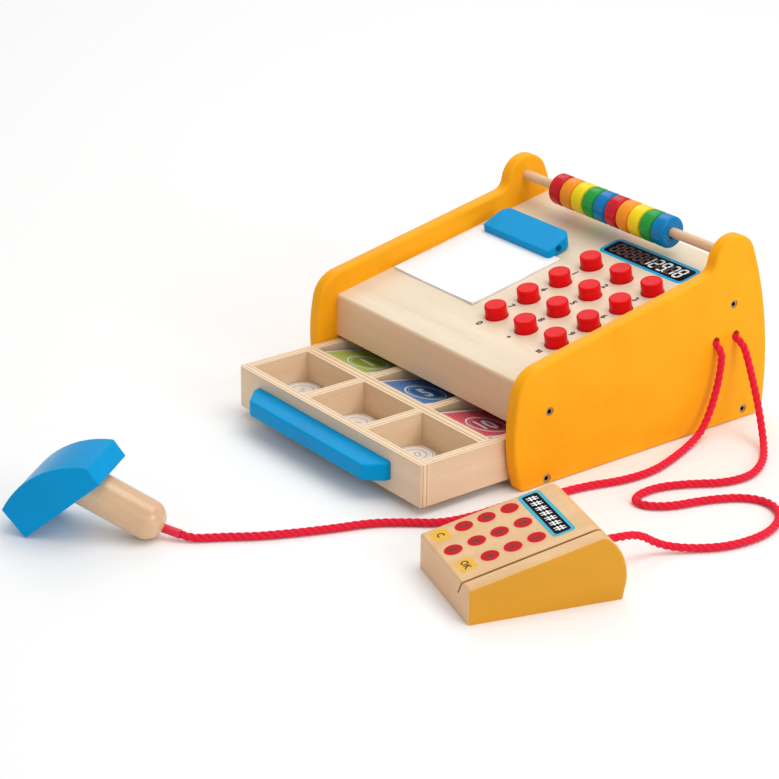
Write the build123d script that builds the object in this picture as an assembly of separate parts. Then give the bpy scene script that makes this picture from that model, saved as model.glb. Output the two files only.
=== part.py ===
from build123d import *
import math
import os

# Wooden toy cash register with a coin drawer, spring keys, a bead rod, a paper clip,
# a corded hand scanner and a corded card reader.
#
# Millimetres. +X is the side that the cords leave, -Y is the user's side, +Z is up.
# The origin is the middle of the base panel's underside.

# ---- case ----------------------------------------------------------------------------
OUTER_WIDTH = 250.0
PANEL_T = 11.5
INNER_X = OUTER_WIDTH / 2 - PANEL_T
PANEL_EDGE_R = 2.3
FRONT_Y = -107.8          # front face of the front rail
SLOPE = 11.19             # degrees, the sloped top
TOP_FRONT_Z = 76.0        # top surface at FRONT_Y
TOP_T = 8.0
RAIL_T = 20.0
RAIL_BOTTOM_Z = 42.4
BASE_T = 6.5
BACK_T = 8.0
BACK_Y = 109.0            # rear face of the back panel
REAR_RAIL_T = 16.0
REAR_RAIL_HEIGHT = 16.0
REAR_RAIL_GAP = 5.0       # in front of the back panel
RAIL_EDGE_R = 3.0

# ---- side panel outline (y, z) -------------------------------------------------------
FOOT_FRONT_Y = -119.0
FOOT_BACK_Y = 126.5
FRONT_BULGE = (-126.7, 47.0)
FRONT_SHOULDER_Y = -119.5
RIM_RISE = 17.6           # panel edge above the sloped top
BACK_BULGE = (124.6, 70.0)
KNOB_CENTRE = (86.5, 132.5)
KNOB_R = 20.5
KNOB_BACK_ANGLE = 22.0    # where the back edge runs into the knob
NECK_R = 10.0
SHOULDER_R = 24.0
FOOT_FRONT_R = 6.0
FOOT_BACK_R = 12.0

# ---- keys ----------------------------------------------------------------------------
KEY_X = (15.1, 49.3, 83.5)
KEY_FIRST_S = 55.8        # along the slope from FRONT_Y
KEY_PITCH_S = 32.25
KEY_ROWS = 4
KEY_R = 8.5
KEY_HEIGHT = 10.2
KEY_RIM_R = 1.3
KEY_HOLE_R = 9.1
FLANGE_R = 10.5
FLANGE_T = 2.5
FLANGE_GAP = 0.2
STEM_R = 3.0
STEM_CLEARANCE = 0.08
STEM_LENGTH = 18.0
BOARD_DROP = 21.0         # top of the key board below the sloped surface
BOARD_T = 4.0
BOARD_WIDTH = 108.0
BOARD_LENGTH = 128.0
STANDOFF_R = 4.0
STANDOFF_INSET = 5.0
SPRING_R = 5.0
SPRING_BORE_R = 3.6

# ---- beads ---------------------------------------------------------------------------
ROD_AT = (84.9, 136.9)    # (y, z) of the rod
ROD_R = 4.0
ROD_SOCKET = 7.0          # depth of its socket in each side panel
BEAD_R = 12.8
BEAD_T = 13.0
BEAD_RIM_R = 3.0
BEAD_BORE_R = 4.7
BEAD_SAG = 0.6            # the beads hang on the rod
BEAD_PITCH = 13.2
BEAD_FIRST_X = -67.2
BEAD_COUNT = 10

# ---- paper and clip ------------------------------------------------------------------
PAPER_T = 1.2
PAPER_X = (-110.0, -12.0)
PAPER_FRONT_S = 54.9
PAPER_UNDER_CLIP = 6.5
CLIP_X = -59.7
CLIP_FRONT_S = 139.0
CLIP_HALF = 40.0
CLIP_DEPTH = 26.0
CLIP_FRONT_HEIGHT = 6.8
CLIP_BACK_HEIGHT = 13.4
CLIP_BACK_R = 9.0
CLIP_BACK_GAP = 3.4       # under the back edge, where the block rocks down
CLIP_PIN_S = 11.0
CLIP_PIN_N = 5.2
CLIP_PIN_R = 2.0
CLIP_PIN_CLEARANCE = 0.05
CLIP_PIN_LENGTH = 74.0
CLIP_SINK_R = 3.0
CLIP_EYE_X = (-24.0, 24.0)
CLIP_EYE_R = 3.0
CLIP_EYE_T = 3.0
CLIP_TONGUE_HALF = 2.2
CLIP_SLOT_T = 4.0
CLIP_SLOT_R = 3.4
CLIP_SPRING_S = 19.0
CLIP_SPRING_TOP = 7.2
CLIP_SPRING_R = 2.8
CLIP_SPRING_BORE_R = 2.0
CLIP_SPRING_HOLE_R = 3.4
CLIP_PAPER_GAP = 0.1
CLIP_FRONT_R = 2.5
CLIP_EDGE_R = 0.9

# ---- drawer --------------------------------------------------------------------------
DRAWER_HALF = 112.2
DRAWER_FRONT_Y = -201.4
DRAWER_LENGTH = 196.0
DRAWER_Z0 = 6.7
DRAWER_Z1 = 39.6
DRAWER_BACK_Z1 = 47.0
WALL_T = 7.6
DRAWER_CORNER_R = 2.2
FLOOR_Z = (9.8, 13.8)
LONG_DIVIDER_Y = (-143.0, -133.0)
CROSS_DIVIDER_X = 35.5
CROSS_DIVIDER_T = 8.4
HANDLE_X = -4.5
HANDLE_HALF = 82.0
HANDLE_FLAT_HALF = 70.5
HANDLE_DEPTH = 17.2
HANDLE_Z = (15.5, 30.5)
HANDLE_END_DEPTH = 4.5
HANDLE_FALL = 3.0
HANDLE_CORNER_R = 6.0
HANDLE_EDGE_R = 1.6
HANDLE_SCREW_X = 54.0
HANDLE_SCREW_R = 1.6
HANDLE_SCREW_LENGTH = 18.0
HANDLE_SCREW_HEAD_R = 3.4
HANDLE_SCREW_HEAD_T = 2.0
COIN_R = 15.0
COIN_T = 2.6
COIN_EDGE_R = 0.5
COIN_PLACES = ((-89.0, -158.8), (-16.0, -162.0), (55.2, -161.6))
NOTE_HALF = 27.5
NOTE_T = 0.5
NOTE_FRONT = (-132.4, 38.0)   # (y, z) of a note's front edge, behind the long divider
NOTE_MIDDLE = (-80.0, 27.0)
NOTE_BACK = (-30.0, 14.3)

# ---- screws and cord holes in the side panels (y, z) ---------------------------------
SIDE_SCREWS = ((-94.3, 57.9), (-94.6, 4.9), (105.0, 8.0), (87.2, 98.6))
SCREW_HEAD_R = 3.6
SCREW_HEAD_T = 3.0
SCREW_SEAT = 3.6          # depth of the counterbore
SCREW_SHANK_R = 1.45
SCREW_LENGTH = 26.0
HEX_FLAT_R = 1.9
HEX_DEPTH = 2.0
CORD_HOLES = ((70.9, 71.6), (91.5, 72.4))
CORD_HOLE_R = 3.8
CORD_R = 3.0
KNOT_R = 7.0
KNOT_LENGTH = 12.0
KNOT_EDGE_R = 4.0

# ---- hand scanner --------------------------------------------------------------------
SCANNER_AT = (-24.1, -441.7, 0.0)
SCANNER_YAW = 37.1
SCANNER_PITCH = 40.3
SCANNER_LENGTH = 74.3
SCANNER_WIDTH = 50.8
SCANNER_NOSE = 25.3
SCANNER_ARCH = (26.0, 31.2)
SCANNER_HEEL = (75.1, 14.2)
SCANNER_EDGE_R = 0.9
GRIP_AT = 51.0
GRIP_ANGLE = 64.4
GRIP_R = 14.5
GRIP_END_R = 13.0          # rounding of the grip's free end
TENON_R = 6.0
TENON_LENGTH = 12.0
TENON_IN_GRIP = 4.0
TENON_GAP = 1.0           # glue space at the bottom of the socket
SLEEVE_R = 3.3
SLEEVE_LENGTH = 15.0
SLEEVE_IN_GRIP = 7.0

# ---- card reader ---------------------------------------------------------------------
READER_CENTRE = (228.8, -208.0)
READER_YAW = -17.2
READER_HALF_WIDTH = 43.7
READER_HALF_LENGTH = 55.7
READER_FRONT_Z = 25.3
READER_CREST = (40.4, 48.4)   # (local y, z) where the top meets the round back
READER_BACK = ((53.6, 33.5), (57.6, 12.0))
READER_HEEL_Y = 55.4
READER_CREST_R = 7.0
READER_EDGE_R = 2.0
READER_BORE_R = CORD_R + 0.8
READER_BORE_DEPTH = 20.0
KERF_W = 1.8
KERF_FROM_SIDE = 12.0
KERF_DEPTH = 12.0
KERF_TILT = 32.0

# ---- cord routes, from the case outwards ---------------------------------------------
FLOOR = CORD_R + 0.05
SCANNER_CORD = [
    (INNER_X, 70.9, 71.6), (131.5, 71.2, 71.0), (132.5, 70.0, 50.0), (133.5, 63.5, 27.0),
    (136.0, 51.5, 8.0), (141.0, 34.0, FLOOR), (151.0, 8.0, FLOOR), (159.0, -20.0, FLOOR),
    (157.5, -50.0, FLOOR), (148.5, -76.0, FLOOR), (145.0, -106.0, FLOOR),
    (137.5, -140.0, FLOOR), (138.5, -172.0, FLOOR), (133.0, -199.0, FLOOR),
    (117.0, -218.0, FLOOR), (103.5, -238.0, FLOOR), (95.0, -264.0, FLOOR),
    (85.0, -289.0, FLOOR), (73.0, -314.5, FLOOR), (62.0, -330.5, FLOOR),
    (55.3, -342.0, FLOOR), (49.0, -352.3, FLOOR), (42.6, -357.0, 4.9)]
READER_CORD = [
    (INNER_X, 91.5, 72.4), (131.5, 91.8, 71.8), (142.0, 91.0, 53.0), (157.0, 87.0, 29.0),
    (170.0, 81.0, 9.0), (182.0, 71.0, FLOOR), (196.0, 55.0, FLOOR), (207.5, 32.0, FLOOR),
    (204.0, 7.0, FLOOR), (190.0, -14.0, FLOOR), (181.0, -35.0, FLOOR),
    (180.5, -53.0, FLOOR), (186.0, -66.0, FLOOR), (198.5, -65.0, FLOOR),
    (209.5, -50.0, FLOOR), (215.0, -28.0, FLOOR), (223.0, -9.0, FLOOR),
    (231.5, 3.0, FLOOR), (243.5, 9.8, FLOOR), (257.0, 7.9, FLOOR), (269.0, -2.5, FLOOR),
    (277.0, -17.0, FLOOR), (281.0, -35.0, FLOOR), (278.5, -62.0, FLOOR), (265.0, -86.0, FLOOR),
    (253.0, -104.0, 6.5), (250.0, -121.0, 19.0), (248.6, -143.9, 22.0),
    (242.45, -163.75, 22.0)]

SLOPED = Plane(
    origin=(0, FRONT_Y, TOP_FRONT_Z),
    x_dir=(1, 0, 0),
    z_dir=(0, -math.sin(math.radians(SLOPE)), math.cos(math.radians(SLOPE))),
)


def top_z(y):
    """Height of the sloped top surface at a given y."""
    return TOP_FRONT_Z + (y - FRONT_Y) * math.tan(math.radians(SLOPE))


def slab(x0, x1, y0, y1, z0, z1):
    """Axis-aligned box between two corners."""
    return Pos((x0 + x1) / 2, (y0 + y1) / 2, (z0 + z1) / 2) * Box(x1 - x0, y1 - y0, z1 - z0)


def yz_prism(face_yz, x0, x1):
    """Extrude a face drawn in (y, z) from x0 to x1."""
    plane = Plane(origin=(x0, 0, 0), x_dir=(0, 1, 0), z_dir=(1, 0, 0))
    return extrude(plane * face_yz, amount=x1 - x0)


def x_rod(x0, x1, y, z, radius):
    """Round bar parallel to X."""
    return Pos((x0 + x1) / 2, y, z) * Rot(0, 90, 0) * Cylinder(radius, x1 - x0)


# ---- side panels ---------------------------------------------------------------------
def side_outline():
    """Outline face of a side panel in (y, z)."""
    slope = math.radians(SLOPE)
    crest = top_z(KNOB_CENTRE[0]) + RIM_RISE
    shoulder = (FRONT_SHOULDER_Y, top_z(FRONT_SHOULDER_Y) + RIM_RISE)
    lift = (KNOB_CENTRE[1] - crest) * math.cos(slope)
    reach = math.sqrt(KNOB_R ** 2 - lift ** 2)
    foot = (KNOB_CENTRE[0] + lift * math.sin(slope), KNOB_CENTRE[1] - lift * math.cos(slope))
    neck = (foot[0] - reach * math.cos(slope), foot[1] - reach * math.sin(slope))
    back = math.radians(KNOB_BACK_ANGLE)
    knob_back = (KNOB_CENTRE[0] + KNOB_R * math.cos(back), KNOB_CENTRE[1] + KNOB_R * math.sin(back))
    knob_top = (KNOB_CENTRE[0], KNOB_CENTRE[1] + KNOB_R)
    edges = [
        Line((FOOT_FRONT_Y, 0), (FOOT_BACK_Y, 0)),
        ThreePointArc((FOOT_BACK_Y, 0), BACK_BULGE, knob_back),
        ThreePointArc(knob_back, knob_top, neck),
        Line(neck, shoulder),
        ThreePointArc(shoulder, FRONT_BULGE, (FOOT_FRONT_Y, 0)),
    ]
    face = make_face(Curve() + edges)

    def corner(point):
        return face.vertices().sort_by_distance(Vector(point[0], point[1], 0))[0]

    face = fillet(corner(neck), NECK_R)
    face = fillet(corner(shoulder), SHOULDER_R)
    face = fillet(corner((FOOT_BACK_Y, 0)), FOOT_BACK_R)
    return fillet(corner((FOOT_FRONT_Y, 0)), FOOT_FRONT_R)


def screw_places(side):
    """Outer-face points of the four screws on one side, +1 right or -1 left."""
    return [(side * OUTER_WIDTH / 2, y, z) for y, z in SIDE_SCREWS]


def side_panel(side):
    """Painted board with rounded edges, screw counterbores, rod socket and cord holes."""
    board = yz_prism(side_outline(), INNER_X, OUTER_WIDTH / 2)
    rims = board.edges().filter_by(lambda e: abs(e.center().X - INNER_X) < 0.01
                                   or abs(e.center().X - OUTER_WIDTH / 2) < 0.01)
    board = fillet(rims, PANEL_EDGE_R)
    for y, z in SIDE_SCREWS:
        board -= x_rod(OUTER_WIDTH / 2 - SCREW_SEAT, OUTER_WIDTH / 2 + 1, y, z, SCREW_HEAD_R)
        board -= x_rod(INNER_X - 1, OUTER_WIDTH / 2, y, z, SCREW_SHANK_R)
    board -= x_rod(INNER_X - 1, INNER_X + ROD_SOCKET, *ROD_AT, ROD_R)
    if side < 0:
        return mirror(board, about=Plane.YZ)
    for y, z in CORD_HOLES:
        board -= x_rod(INNER_X - 1, OUTER_WIDTH / 2 + 1, y, z, CORD_HOLE_R)
    return board


def side_screw(x, y, z):
    """Hex-socket screw whose head sits in the counterbore of a side panel."""
    side = math.copysign(1, x)
    seat = abs(x) - SCREW_SEAT
    head = x_rod(seat, seat + SCREW_HEAD_T, y, z, SCREW_HEAD_R)
    socket = Pos(seat + SCREW_HEAD_T, y, z) * Rot(0, 90, 0) * extrude(
        RegularPolygon(HEX_FLAT_R, 6), amount=-HEX_DEPTH)
    shank = x_rod(seat - SCREW_LENGTH, seat, y, z, SCREW_SHANK_R)
    screw = head - socket + shank
    return screw if side > 0 else mirror(screw, about=Plane.YZ)


# ---- case boards ---------------------------------------------------------------------
def screw_bores():
    """Every shank hole, to cut from the boards that the screws bite into."""
    bores = []
    for side in (-1, 1):
        for x, y, z in screw_places(side):
            seat = abs(x) - SCREW_SEAT
            bore = x_rod(seat - SCREW_LENGTH, seat, y, z, SCREW_SHANK_R)
            bores.append(bore if side > 0 else mirror(bore, about=Plane.YZ))
    return bores


def drilled(board):
    """Board with the screws' shank holes cut where they meet it."""
    for bore in screw_bores():
        board -= bore
    return board


def front_rail():
    """Thick rail over the drawer mouth; its top follows the slope."""
    y1 = FRONT_Y + RAIL_T
    outline = Polyline((FRONT_Y, RAIL_BOTTOM_Z), (y1, RAIL_BOTTOM_Z), (y1, top_z(y1)),
                       (FRONT_Y, TOP_FRONT_Z), close=True)
    rail = yz_prism(make_face(outline), -INNER_X, INNER_X)
    edge = rail.edges().filter_by(Axis.X).sort_by_distance((0, FRONT_Y, TOP_FRONT_Z))[0]
    return drilled(fillet(edge, RAIL_EDGE_R))


def top_panel():
    """Sloped board between the side panels, with twelve key holes."""
    y0 = FRONT_Y + RAIL_T
    drop = TOP_T / math.cos(math.radians(SLOPE))
    outline = Polyline((y0, top_z(y0) - drop), (y0, top_z(y0)), (BACK_Y, top_z(BACK_Y)),
                       (BACK_Y, top_z(BACK_Y) - drop), close=True)
    board = yz_prism(make_face(outline), -INNER_X, INNER_X)
    for x, s in key_places():
        board -= SLOPED * Pos(x, s, 0) * Cylinder(KEY_HOLE_R, 4 * TOP_T)
    return board


def back_panel():
    """Upright board that closes the back."""
    y0 = BACK_Y - BACK_T
    drop = TOP_T / math.cos(math.radians(SLOPE))
    outline = Polyline((y0, 0), (BACK_Y, 0), (BACK_Y, top_z(BACK_Y) - drop),
                       (y0, top_z(y0) - drop), close=True)
    return drilled(yz_prism(make_face(outline), -INNER_X, INNER_X))


def base_panel():
    """Floor of the case, on which the drawer slides."""
    return drilled(slab(-INNER_X, INNER_X, FRONT_Y, BACK_Y - BACK_T, 0, BASE_T))


def rear_rail():
    """Batten under the back of the top panel."""
    y0 = BACK_Y - BACK_T - REAR_RAIL_T - REAR_RAIL_GAP
    drop = TOP_T / math.cos(math.radians(SLOPE))
    y1 = y0 + REAR_RAIL_T
    bottom = top_z(y0) - drop - REAR_RAIL_HEIGHT
    outline = Polyline((y0, bottom), (y1, bottom), (y1, top_z(y1) - drop), (y0, top_z(y0) - drop),
                       close=True)
    return drilled(yz_prism(make_face(outline), -INNER_X, INNER_X))


# ---- keys ----------------------------------------------------------------------------
def key_places():
    """(x, s) of the keys, back row first and left to right, so key 1 is at the back left."""
    rows = range(KEY_ROWS - 1, -1, -1)
    return [(x, KEY_FIRST_S + row * KEY_PITCH_S) for row in rows for x in KEY_X]


def key(x, s):
    """Turned key: cap, retaining flange under the top panel and guide stem."""
    flange_top = -TOP_T - FLANGE_GAP
    cap = Pos(0, 0, (KEY_HEIGHT + flange_top) / 2) * Cylinder(KEY_R, KEY_HEIGHT - flange_top)
    rim = cap.edges().filter_by(GeomType.CIRCLE).sort_by(Axis.Z)[-1]
    cap = fillet(rim, KEY_RIM_R)
    flange = Pos(0, 0, flange_top - FLANGE_T / 2) * Cylinder(FLANGE_R, FLANGE_T)
    stem_top = flange_top - FLANGE_T
    stem = Pos(0, 0, stem_top - STEM_LENGTH / 2) * Cylinder(STEM_R, STEM_LENGTH)
    return SLOPED * Pos(x, s, 0) * (cap + flange + stem)


def board_middle():
    """Middle of the key board in (x, s)."""
    return KEY_X[1], KEY_FIRST_S + (KEY_ROWS - 1) * KEY_PITCH_S / 2


def key_board():
    """Thin board under the keys that guides their stems and carries their springs."""
    board = Pos(*board_middle(), -BOARD_DROP - BOARD_T / 2) * Box(BOARD_WIDTH, BOARD_LENGTH, BOARD_T)
    for kx, ks in key_places():
        board -= Pos(kx, ks, -BOARD_DROP) * Cylinder(STEM_R + STEM_CLEARANCE, 4 * BOARD_T)
    return SLOPED * board


def board_standoffs():
    """Four turned pegs between the top panel and the key board."""
    x, s = board_middle()
    height = BOARD_DROP - TOP_T
    dx, ds = BOARD_WIDTH / 2 - STANDOFF_INSET, BOARD_LENGTH / 2 - STANDOFF_INSET
    peg = Cylinder(STANDOFF_R, height)
    return Compound(children=[SLOPED * Pos(x + i * dx, s + j * ds, -TOP_T - height / 2) * peg
                              for i in (-1, 1) for j in (-1, 1)])


def key_springs():
    """One spring per key, as the outer envelope of its coil."""
    top = -TOP_T - FLANGE_GAP - FLANGE_T
    height = BOARD_DROP + top
    sleeve = Cylinder(SPRING_R, height) - Cylinder(SPRING_BORE_R, 2 * height)
    return Compound(children=[SLOPED * Pos(x, s, top - height / 2) * sleeve for x, s in key_places()])


# ---- beads ---------------------------------------------------------------------------
def bead(index):
    """Thick wooden ring with rounded rims, loose on the rod."""
    ring = Cylinder(BEAD_R, BEAD_T)
    ring = fillet(ring.edges().filter_by(GeomType.CIRCLE), BEAD_RIM_R)
    ring -= Cylinder(BEAD_BORE_R, 2 * BEAD_T)
    x = BEAD_FIRST_X + index * BEAD_PITCH
    return Pos(x, ROD_AT[0], ROD_AT[1] - BEAD_SAG) * Rot(0, 90, 0) * ring


# ---- paper and clip ------------------------------------------------------------------
def paper_pad():
    """Small pad of paper that the clip's front lip holds down."""
    return SLOPED * slab(*PAPER_X, PAPER_FRONT_S, CLIP_FRONT_S + PAPER_UNDER_CLIP, 0, PAPER_T)


def clip_block():
    """Rocking block: a wedge with rounded back corners, bored for its pin."""
    lip = PAPER_T + CLIP_PAPER_GAP
    plan = Pos(0, CLIP_DEPTH / 2) * Rectangle(2 * CLIP_HALF, CLIP_DEPTH)
    plan = fillet(plan.vertices().group_by(Axis.Y)[-1], CLIP_BACK_R)
    plan = fillet(plan.vertices().group_by(Axis.Y)[0], CLIP_FRONT_R)
    body = extrude(plan, amount=CLIP_BACK_HEIGHT)
    section = Polyline((-1, lip), (CLIP_PIN_S, lip), (CLIP_DEPTH + 1, CLIP_BACK_GAP),
                       (CLIP_DEPTH + 1, CLIP_BACK_HEIGHT), (CLIP_DEPTH, CLIP_BACK_HEIGHT),
                       (-1, CLIP_FRONT_HEIGHT), close=True)
    body &= yz_prism(make_face(section), -CLIP_HALF - 1, CLIP_HALF + 1)
    body = fillet(body.edges().filter_by(lambda e: e.center().Z > CLIP_BACK_GAP + 2), CLIP_EDGE_R)
    bore = CLIP_PIN_R + CLIP_PIN_CLEARANCE
    body -= x_rod(-CLIP_HALF - 1, CLIP_HALF + 1, CLIP_PIN_S, CLIP_PIN_N, bore)
    sink = CLIP_PIN_LENGTH / 2
    for x0, x1 in ((-CLIP_HALF - 1, -sink), (sink, CLIP_HALF + 1)):
        body -= x_rod(x0, x1, CLIP_PIN_S, CLIP_PIN_N, CLIP_SINK_R)
    for x in CLIP_EYE_X:
        x0, x1 = x - CLIP_SLOT_T / 2, x + CLIP_SLOT_T / 2
        body -= slab(x0, x1, CLIP_PIN_S - CLIP_SLOT_R, CLIP_PIN_S + CLIP_SLOT_R, -1, CLIP_PIN_N)
        body -= x_rod(x0, x1, CLIP_PIN_S, CLIP_PIN_N, CLIP_SLOT_R)
    body -= Pos(0, CLIP_SPRING_S, 0) * Cylinder(CLIP_SPRING_HOLE_R, 2 * CLIP_SPRING_TOP)
    return SLOPED * Pos(CLIP_X, CLIP_FRONT_S, 0) * body


def clip_pin():
    """Steel pin that the clip block rocks on."""
    pin = x_rod(-CLIP_PIN_LENGTH / 2, CLIP_PIN_LENGTH / 2, CLIP_PIN_S, CLIP_PIN_N, CLIP_PIN_R)
    return SLOPED * Pos(CLIP_X, CLIP_FRONT_S, 0) * pin


def clip_brackets():
    """Two steel eye plates that stand in the top panel and hold the pin."""
    eyes = []
    for x in CLIP_EYE_X:
        x0, x1 = x - CLIP_EYE_T / 2, x + CLIP_EYE_T / 2
        eye = slab(x0, x1, CLIP_PIN_S - CLIP_TONGUE_HALF, CLIP_PIN_S + CLIP_TONGUE_HALF,
                   0, CLIP_PIN_N) + x_rod(x0, x1, CLIP_PIN_S, CLIP_PIN_N, CLIP_EYE_R)
        eye -= x_rod(x0 - 1, x1 + 1, CLIP_PIN_S, CLIP_PIN_N, CLIP_PIN_R)
        eyes.append(SLOPED * Pos(CLIP_X, CLIP_FRONT_S, 0) * eye)
    return Compound(children=eyes)


def clip_spring():
    """Coil spring under the back of the clip block, as its envelope."""
    sleeve = Cylinder(CLIP_SPRING_R, CLIP_SPRING_TOP)
    sleeve -= Cylinder(CLIP_SPRING_BORE_R, 2 * CLIP_SPRING_TOP)
    place = Pos(CLIP_X, CLIP_FRONT_S + CLIP_SPRING_S, CLIP_SPRING_TOP / 2)
    return SLOPED * place * sleeve


# ---- drawer --------------------------------------------------------------------------
def drawer_walls():
    """Front, back and side walls and the floor of the drawer, as separate boards."""
    y0 = DRAWER_FRONT_Y
    y1 = DRAWER_FRONT_Y + DRAWER_LENGTH
    inner = DRAWER_HALF - WALL_T
    front = slab(-DRAWER_HALF, DRAWER_HALF, y0, y0 + WALL_T, DRAWER_Z0, DRAWER_Z1)
    uprights = front.edges().filter_by(Axis.Z).group_by(Axis.Y)[0]
    front = fillet(uprights, DRAWER_CORNER_R)
    for x in (-HANDLE_SCREW_X, HANDLE_SCREW_X):
        front -= Pos(x, y0 + WALL_T / 2, sum(HANDLE_Z) / 2) * Rot(90, 0, 0) * Cylinder(
            HANDLE_SCREW_R, 2 * WALL_T)
    return {
        "drawer_front": front,
        "drawer_back": slab(-inner, inner, y1 - WALL_T, y1, DRAWER_Z0, DRAWER_BACK_Z1),
        "drawer_side_left": slab(-DRAWER_HALF, -inner, y0 + WALL_T, y1, DRAWER_Z0, DRAWER_Z1),
        "drawer_side_right": slab(inner, DRAWER_HALF, y0 + WALL_T, y1, DRAWER_Z0, DRAWER_Z1),
        "drawer_floor": slab(-inner, inner, y0 + WALL_T, y1 - WALL_T, *FLOOR_Z),
    }


def drawer_dividers():
    """Long divider across the drawer, and the short ones in front of and behind it."""
    inner = DRAWER_HALF - WALL_T
    front_y = (DRAWER_FRONT_Y + WALL_T, LONG_DIVIDER_Y[0])
    rear_y = (LONG_DIVIDER_Y[1], DRAWER_FRONT_Y + DRAWER_LENGTH - WALL_T)
    half = CROSS_DIVIDER_T / 2

    def pair(y0, y1):
        return Compound(children=[slab(x - half, x + half, y0, y1, FLOOR_Z[1], DRAWER_Z1)
                                  for x in (-CROSS_DIVIDER_X, CROSS_DIVIDER_X)])

    return {
        "drawer_long_divider": slab(-inner, inner, *LONG_DIVIDER_Y, FLOOR_Z[1], DRAWER_Z1),
        "drawer_front_dividers": pair(*front_y),
        "drawer_rear_dividers": pair(*rear_y),
    }


def drawer_handle():
    """Bar handle with cut-back ends and a top that falls to the front."""
    y0 = DRAWER_FRONT_Y
    height = HANDLE_Z[1] - HANDLE_Z[0]
    plan = Polyline((-HANDLE_HALF, 0), (HANDLE_HALF, 0), (HANDLE_HALF, -HANDLE_END_DEPTH),
                    (HANDLE_FLAT_HALF, -HANDLE_DEPTH), (-HANDLE_FLAT_HALF, -HANDLE_DEPTH),
                    (-HANDLE_HALF, -HANDLE_END_DEPTH), close=True)
    bar = extrude(make_face(plan), amount=height)
    bar = fillet(bar.edges().filter_by(Axis.Z).sort_by(Axis.Y)[:4], HANDLE_CORNER_R)
    wedge = Polyline((1, 0), (-HANDLE_DEPTH - 1, 0), (-HANDLE_DEPTH - 1, height - HANDLE_FALL),
                     (1, height), close=True)
    bar &= yz_prism(make_face(wedge), -HANDLE_HALF - 1, HANDLE_HALF + 1)
    outer = bar.edges().filter_by(lambda e: e.center().Y < -0.5)
    bar = fillet(outer, HANDLE_EDGE_R)
    for x in (-HANDLE_SCREW_X, HANDLE_SCREW_X):
        bar -= Pos(x - HANDLE_X, 0, height / 2) * Rot(90, 0, 0) * Cylinder(
            HANDLE_SCREW_R, 2 * (HANDLE_SCREW_LENGTH - WALL_T))
    return Pos(HANDLE_X, y0, HANDLE_Z[0]) * bar


def handle_screws():
    """Two pan-head screws that hold the handle from inside the drawer."""
    z = sum(HANDLE_Z) / 2
    inside = DRAWER_FRONT_Y + WALL_T
    screws = []
    for x in (-HANDLE_SCREW_X, HANDLE_SCREW_X):
        shank = Pos(x, inside - HANDLE_SCREW_LENGTH / 2, z) * Rot(90, 0, 0) * Cylinder(
            HANDLE_SCREW_R, HANDLE_SCREW_LENGTH)
        head = Pos(x, inside + HANDLE_SCREW_HEAD_T / 2, z) * Rot(90, 0, 0) * Cylinder(
            HANDLE_SCREW_HEAD_R, HANDLE_SCREW_HEAD_T)
        screws.append(shank + head)
    return Compound(children=screws)


def coins():
    """One play coin in each of the three front cells."""
    disc = fillet(Cylinder(COIN_R, COIN_T).edges().filter_by(GeomType.CIRCLE), COIN_EDGE_R)
    return Compound(children=[Pos(x, y, FLOOR_Z[1] + COIN_T / 2) * disc for x, y in COIN_PLACES])


def play_notes():
    """One note in each rear cell, arched from the long divider down to the drawer's floor."""
    inner = DRAWER_HALF - WALL_T
    side_cell = (inner + CROSS_DIVIDER_X + CROSS_DIVIDER_T / 2) / 2
    notes = []
    for x in (-side_cell, 0.0, side_cell):
        path = ThreePointArc((x, *NOTE_FRONT), (x, *NOTE_MIDDLE), (x, *NOTE_BACK))
        profile = Plane(origin=path @ 0, x_dir=(1, 0, 0), z_dir=path % 0) * Rectangle(
            2 * NOTE_HALF, NOTE_T)
        notes.append(sweep(profile, path=path))
    return Compound(children=notes)


# ---- hand scanner --------------------------------------------------------------------
def scanner_axes():
    """Unit vectors of the scanner: along its underside, across it, out of its top, down the grip."""
    yaw = math.radians(SCANNER_YAW)
    ahead = Vector(math.cos(yaw), math.sin(yaw), 0)
    across = Vector(-math.sin(yaw), math.cos(yaw), 0)
    pitch = math.radians(SCANNER_PITCH)
    along = ahead * math.cos(pitch) + Vector(0, 0, 1) * math.sin(pitch)
    up = Vector(0, 0, 1) * math.cos(pitch) - ahead * math.sin(pitch)
    grip = math.radians(GRIP_ANGLE)
    down = along * math.cos(grip) - up * math.sin(grip)
    return along, across, up, down


def grip_points():
    """Where the grip leaves the head, and the middle of its end face; the end rests on the floor."""
    along, across, _, down = scanner_axes()
    root = Vector(*SCANNER_AT) + along * GRIP_AT + across * (SCANNER_WIDTH / 2)
    level = math.sqrt(1 - down.Z ** 2)
    ring_z = GRIP_END_R + (GRIP_R - GRIP_END_R) * level
    end = root + down * ((root.Z - ring_z) / -down.Z + GRIP_END_R)
    return root, end


def scanner_head():
    """Wedge with an arched top that stands on its nose's lower edge."""
    along, across, _, down = scanner_axes()
    side = Plane(origin=SCANNER_AT, x_dir=along, z_dir=across * -1)
    edges = [
        Line((0, 0), (SCANNER_LENGTH, 0)),
        Line((SCANNER_LENGTH, 0), SCANNER_HEEL),
        ThreePointArc(SCANNER_HEEL, SCANNER_ARCH, (0, SCANNER_NOSE)),
        Line((0, SCANNER_NOSE), (0, 0)),
    ]
    block = extrude(make_face(Curve() + edges), amount=-SCANNER_WIDTH)
    block = fillet(block.edges(), SCANNER_EDGE_R)
    block = side * block
    root, _ = grip_points()
    socket = Plane(origin=root, z_dir=down) * Pos(0, 0, -TENON_LENGTH / 2) * Cylinder(
        TENON_R, TENON_LENGTH + TENON_IN_GRIP)
    return block - socket


def cord_sleeve_axis():
    """End point of the sleeve and its direction towards the cord."""
    outer = Vector(*SCANNER_CORD[-1])
    return outer, (Vector(*SCANNER_CORD[-2]) - outer).normalized()


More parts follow.
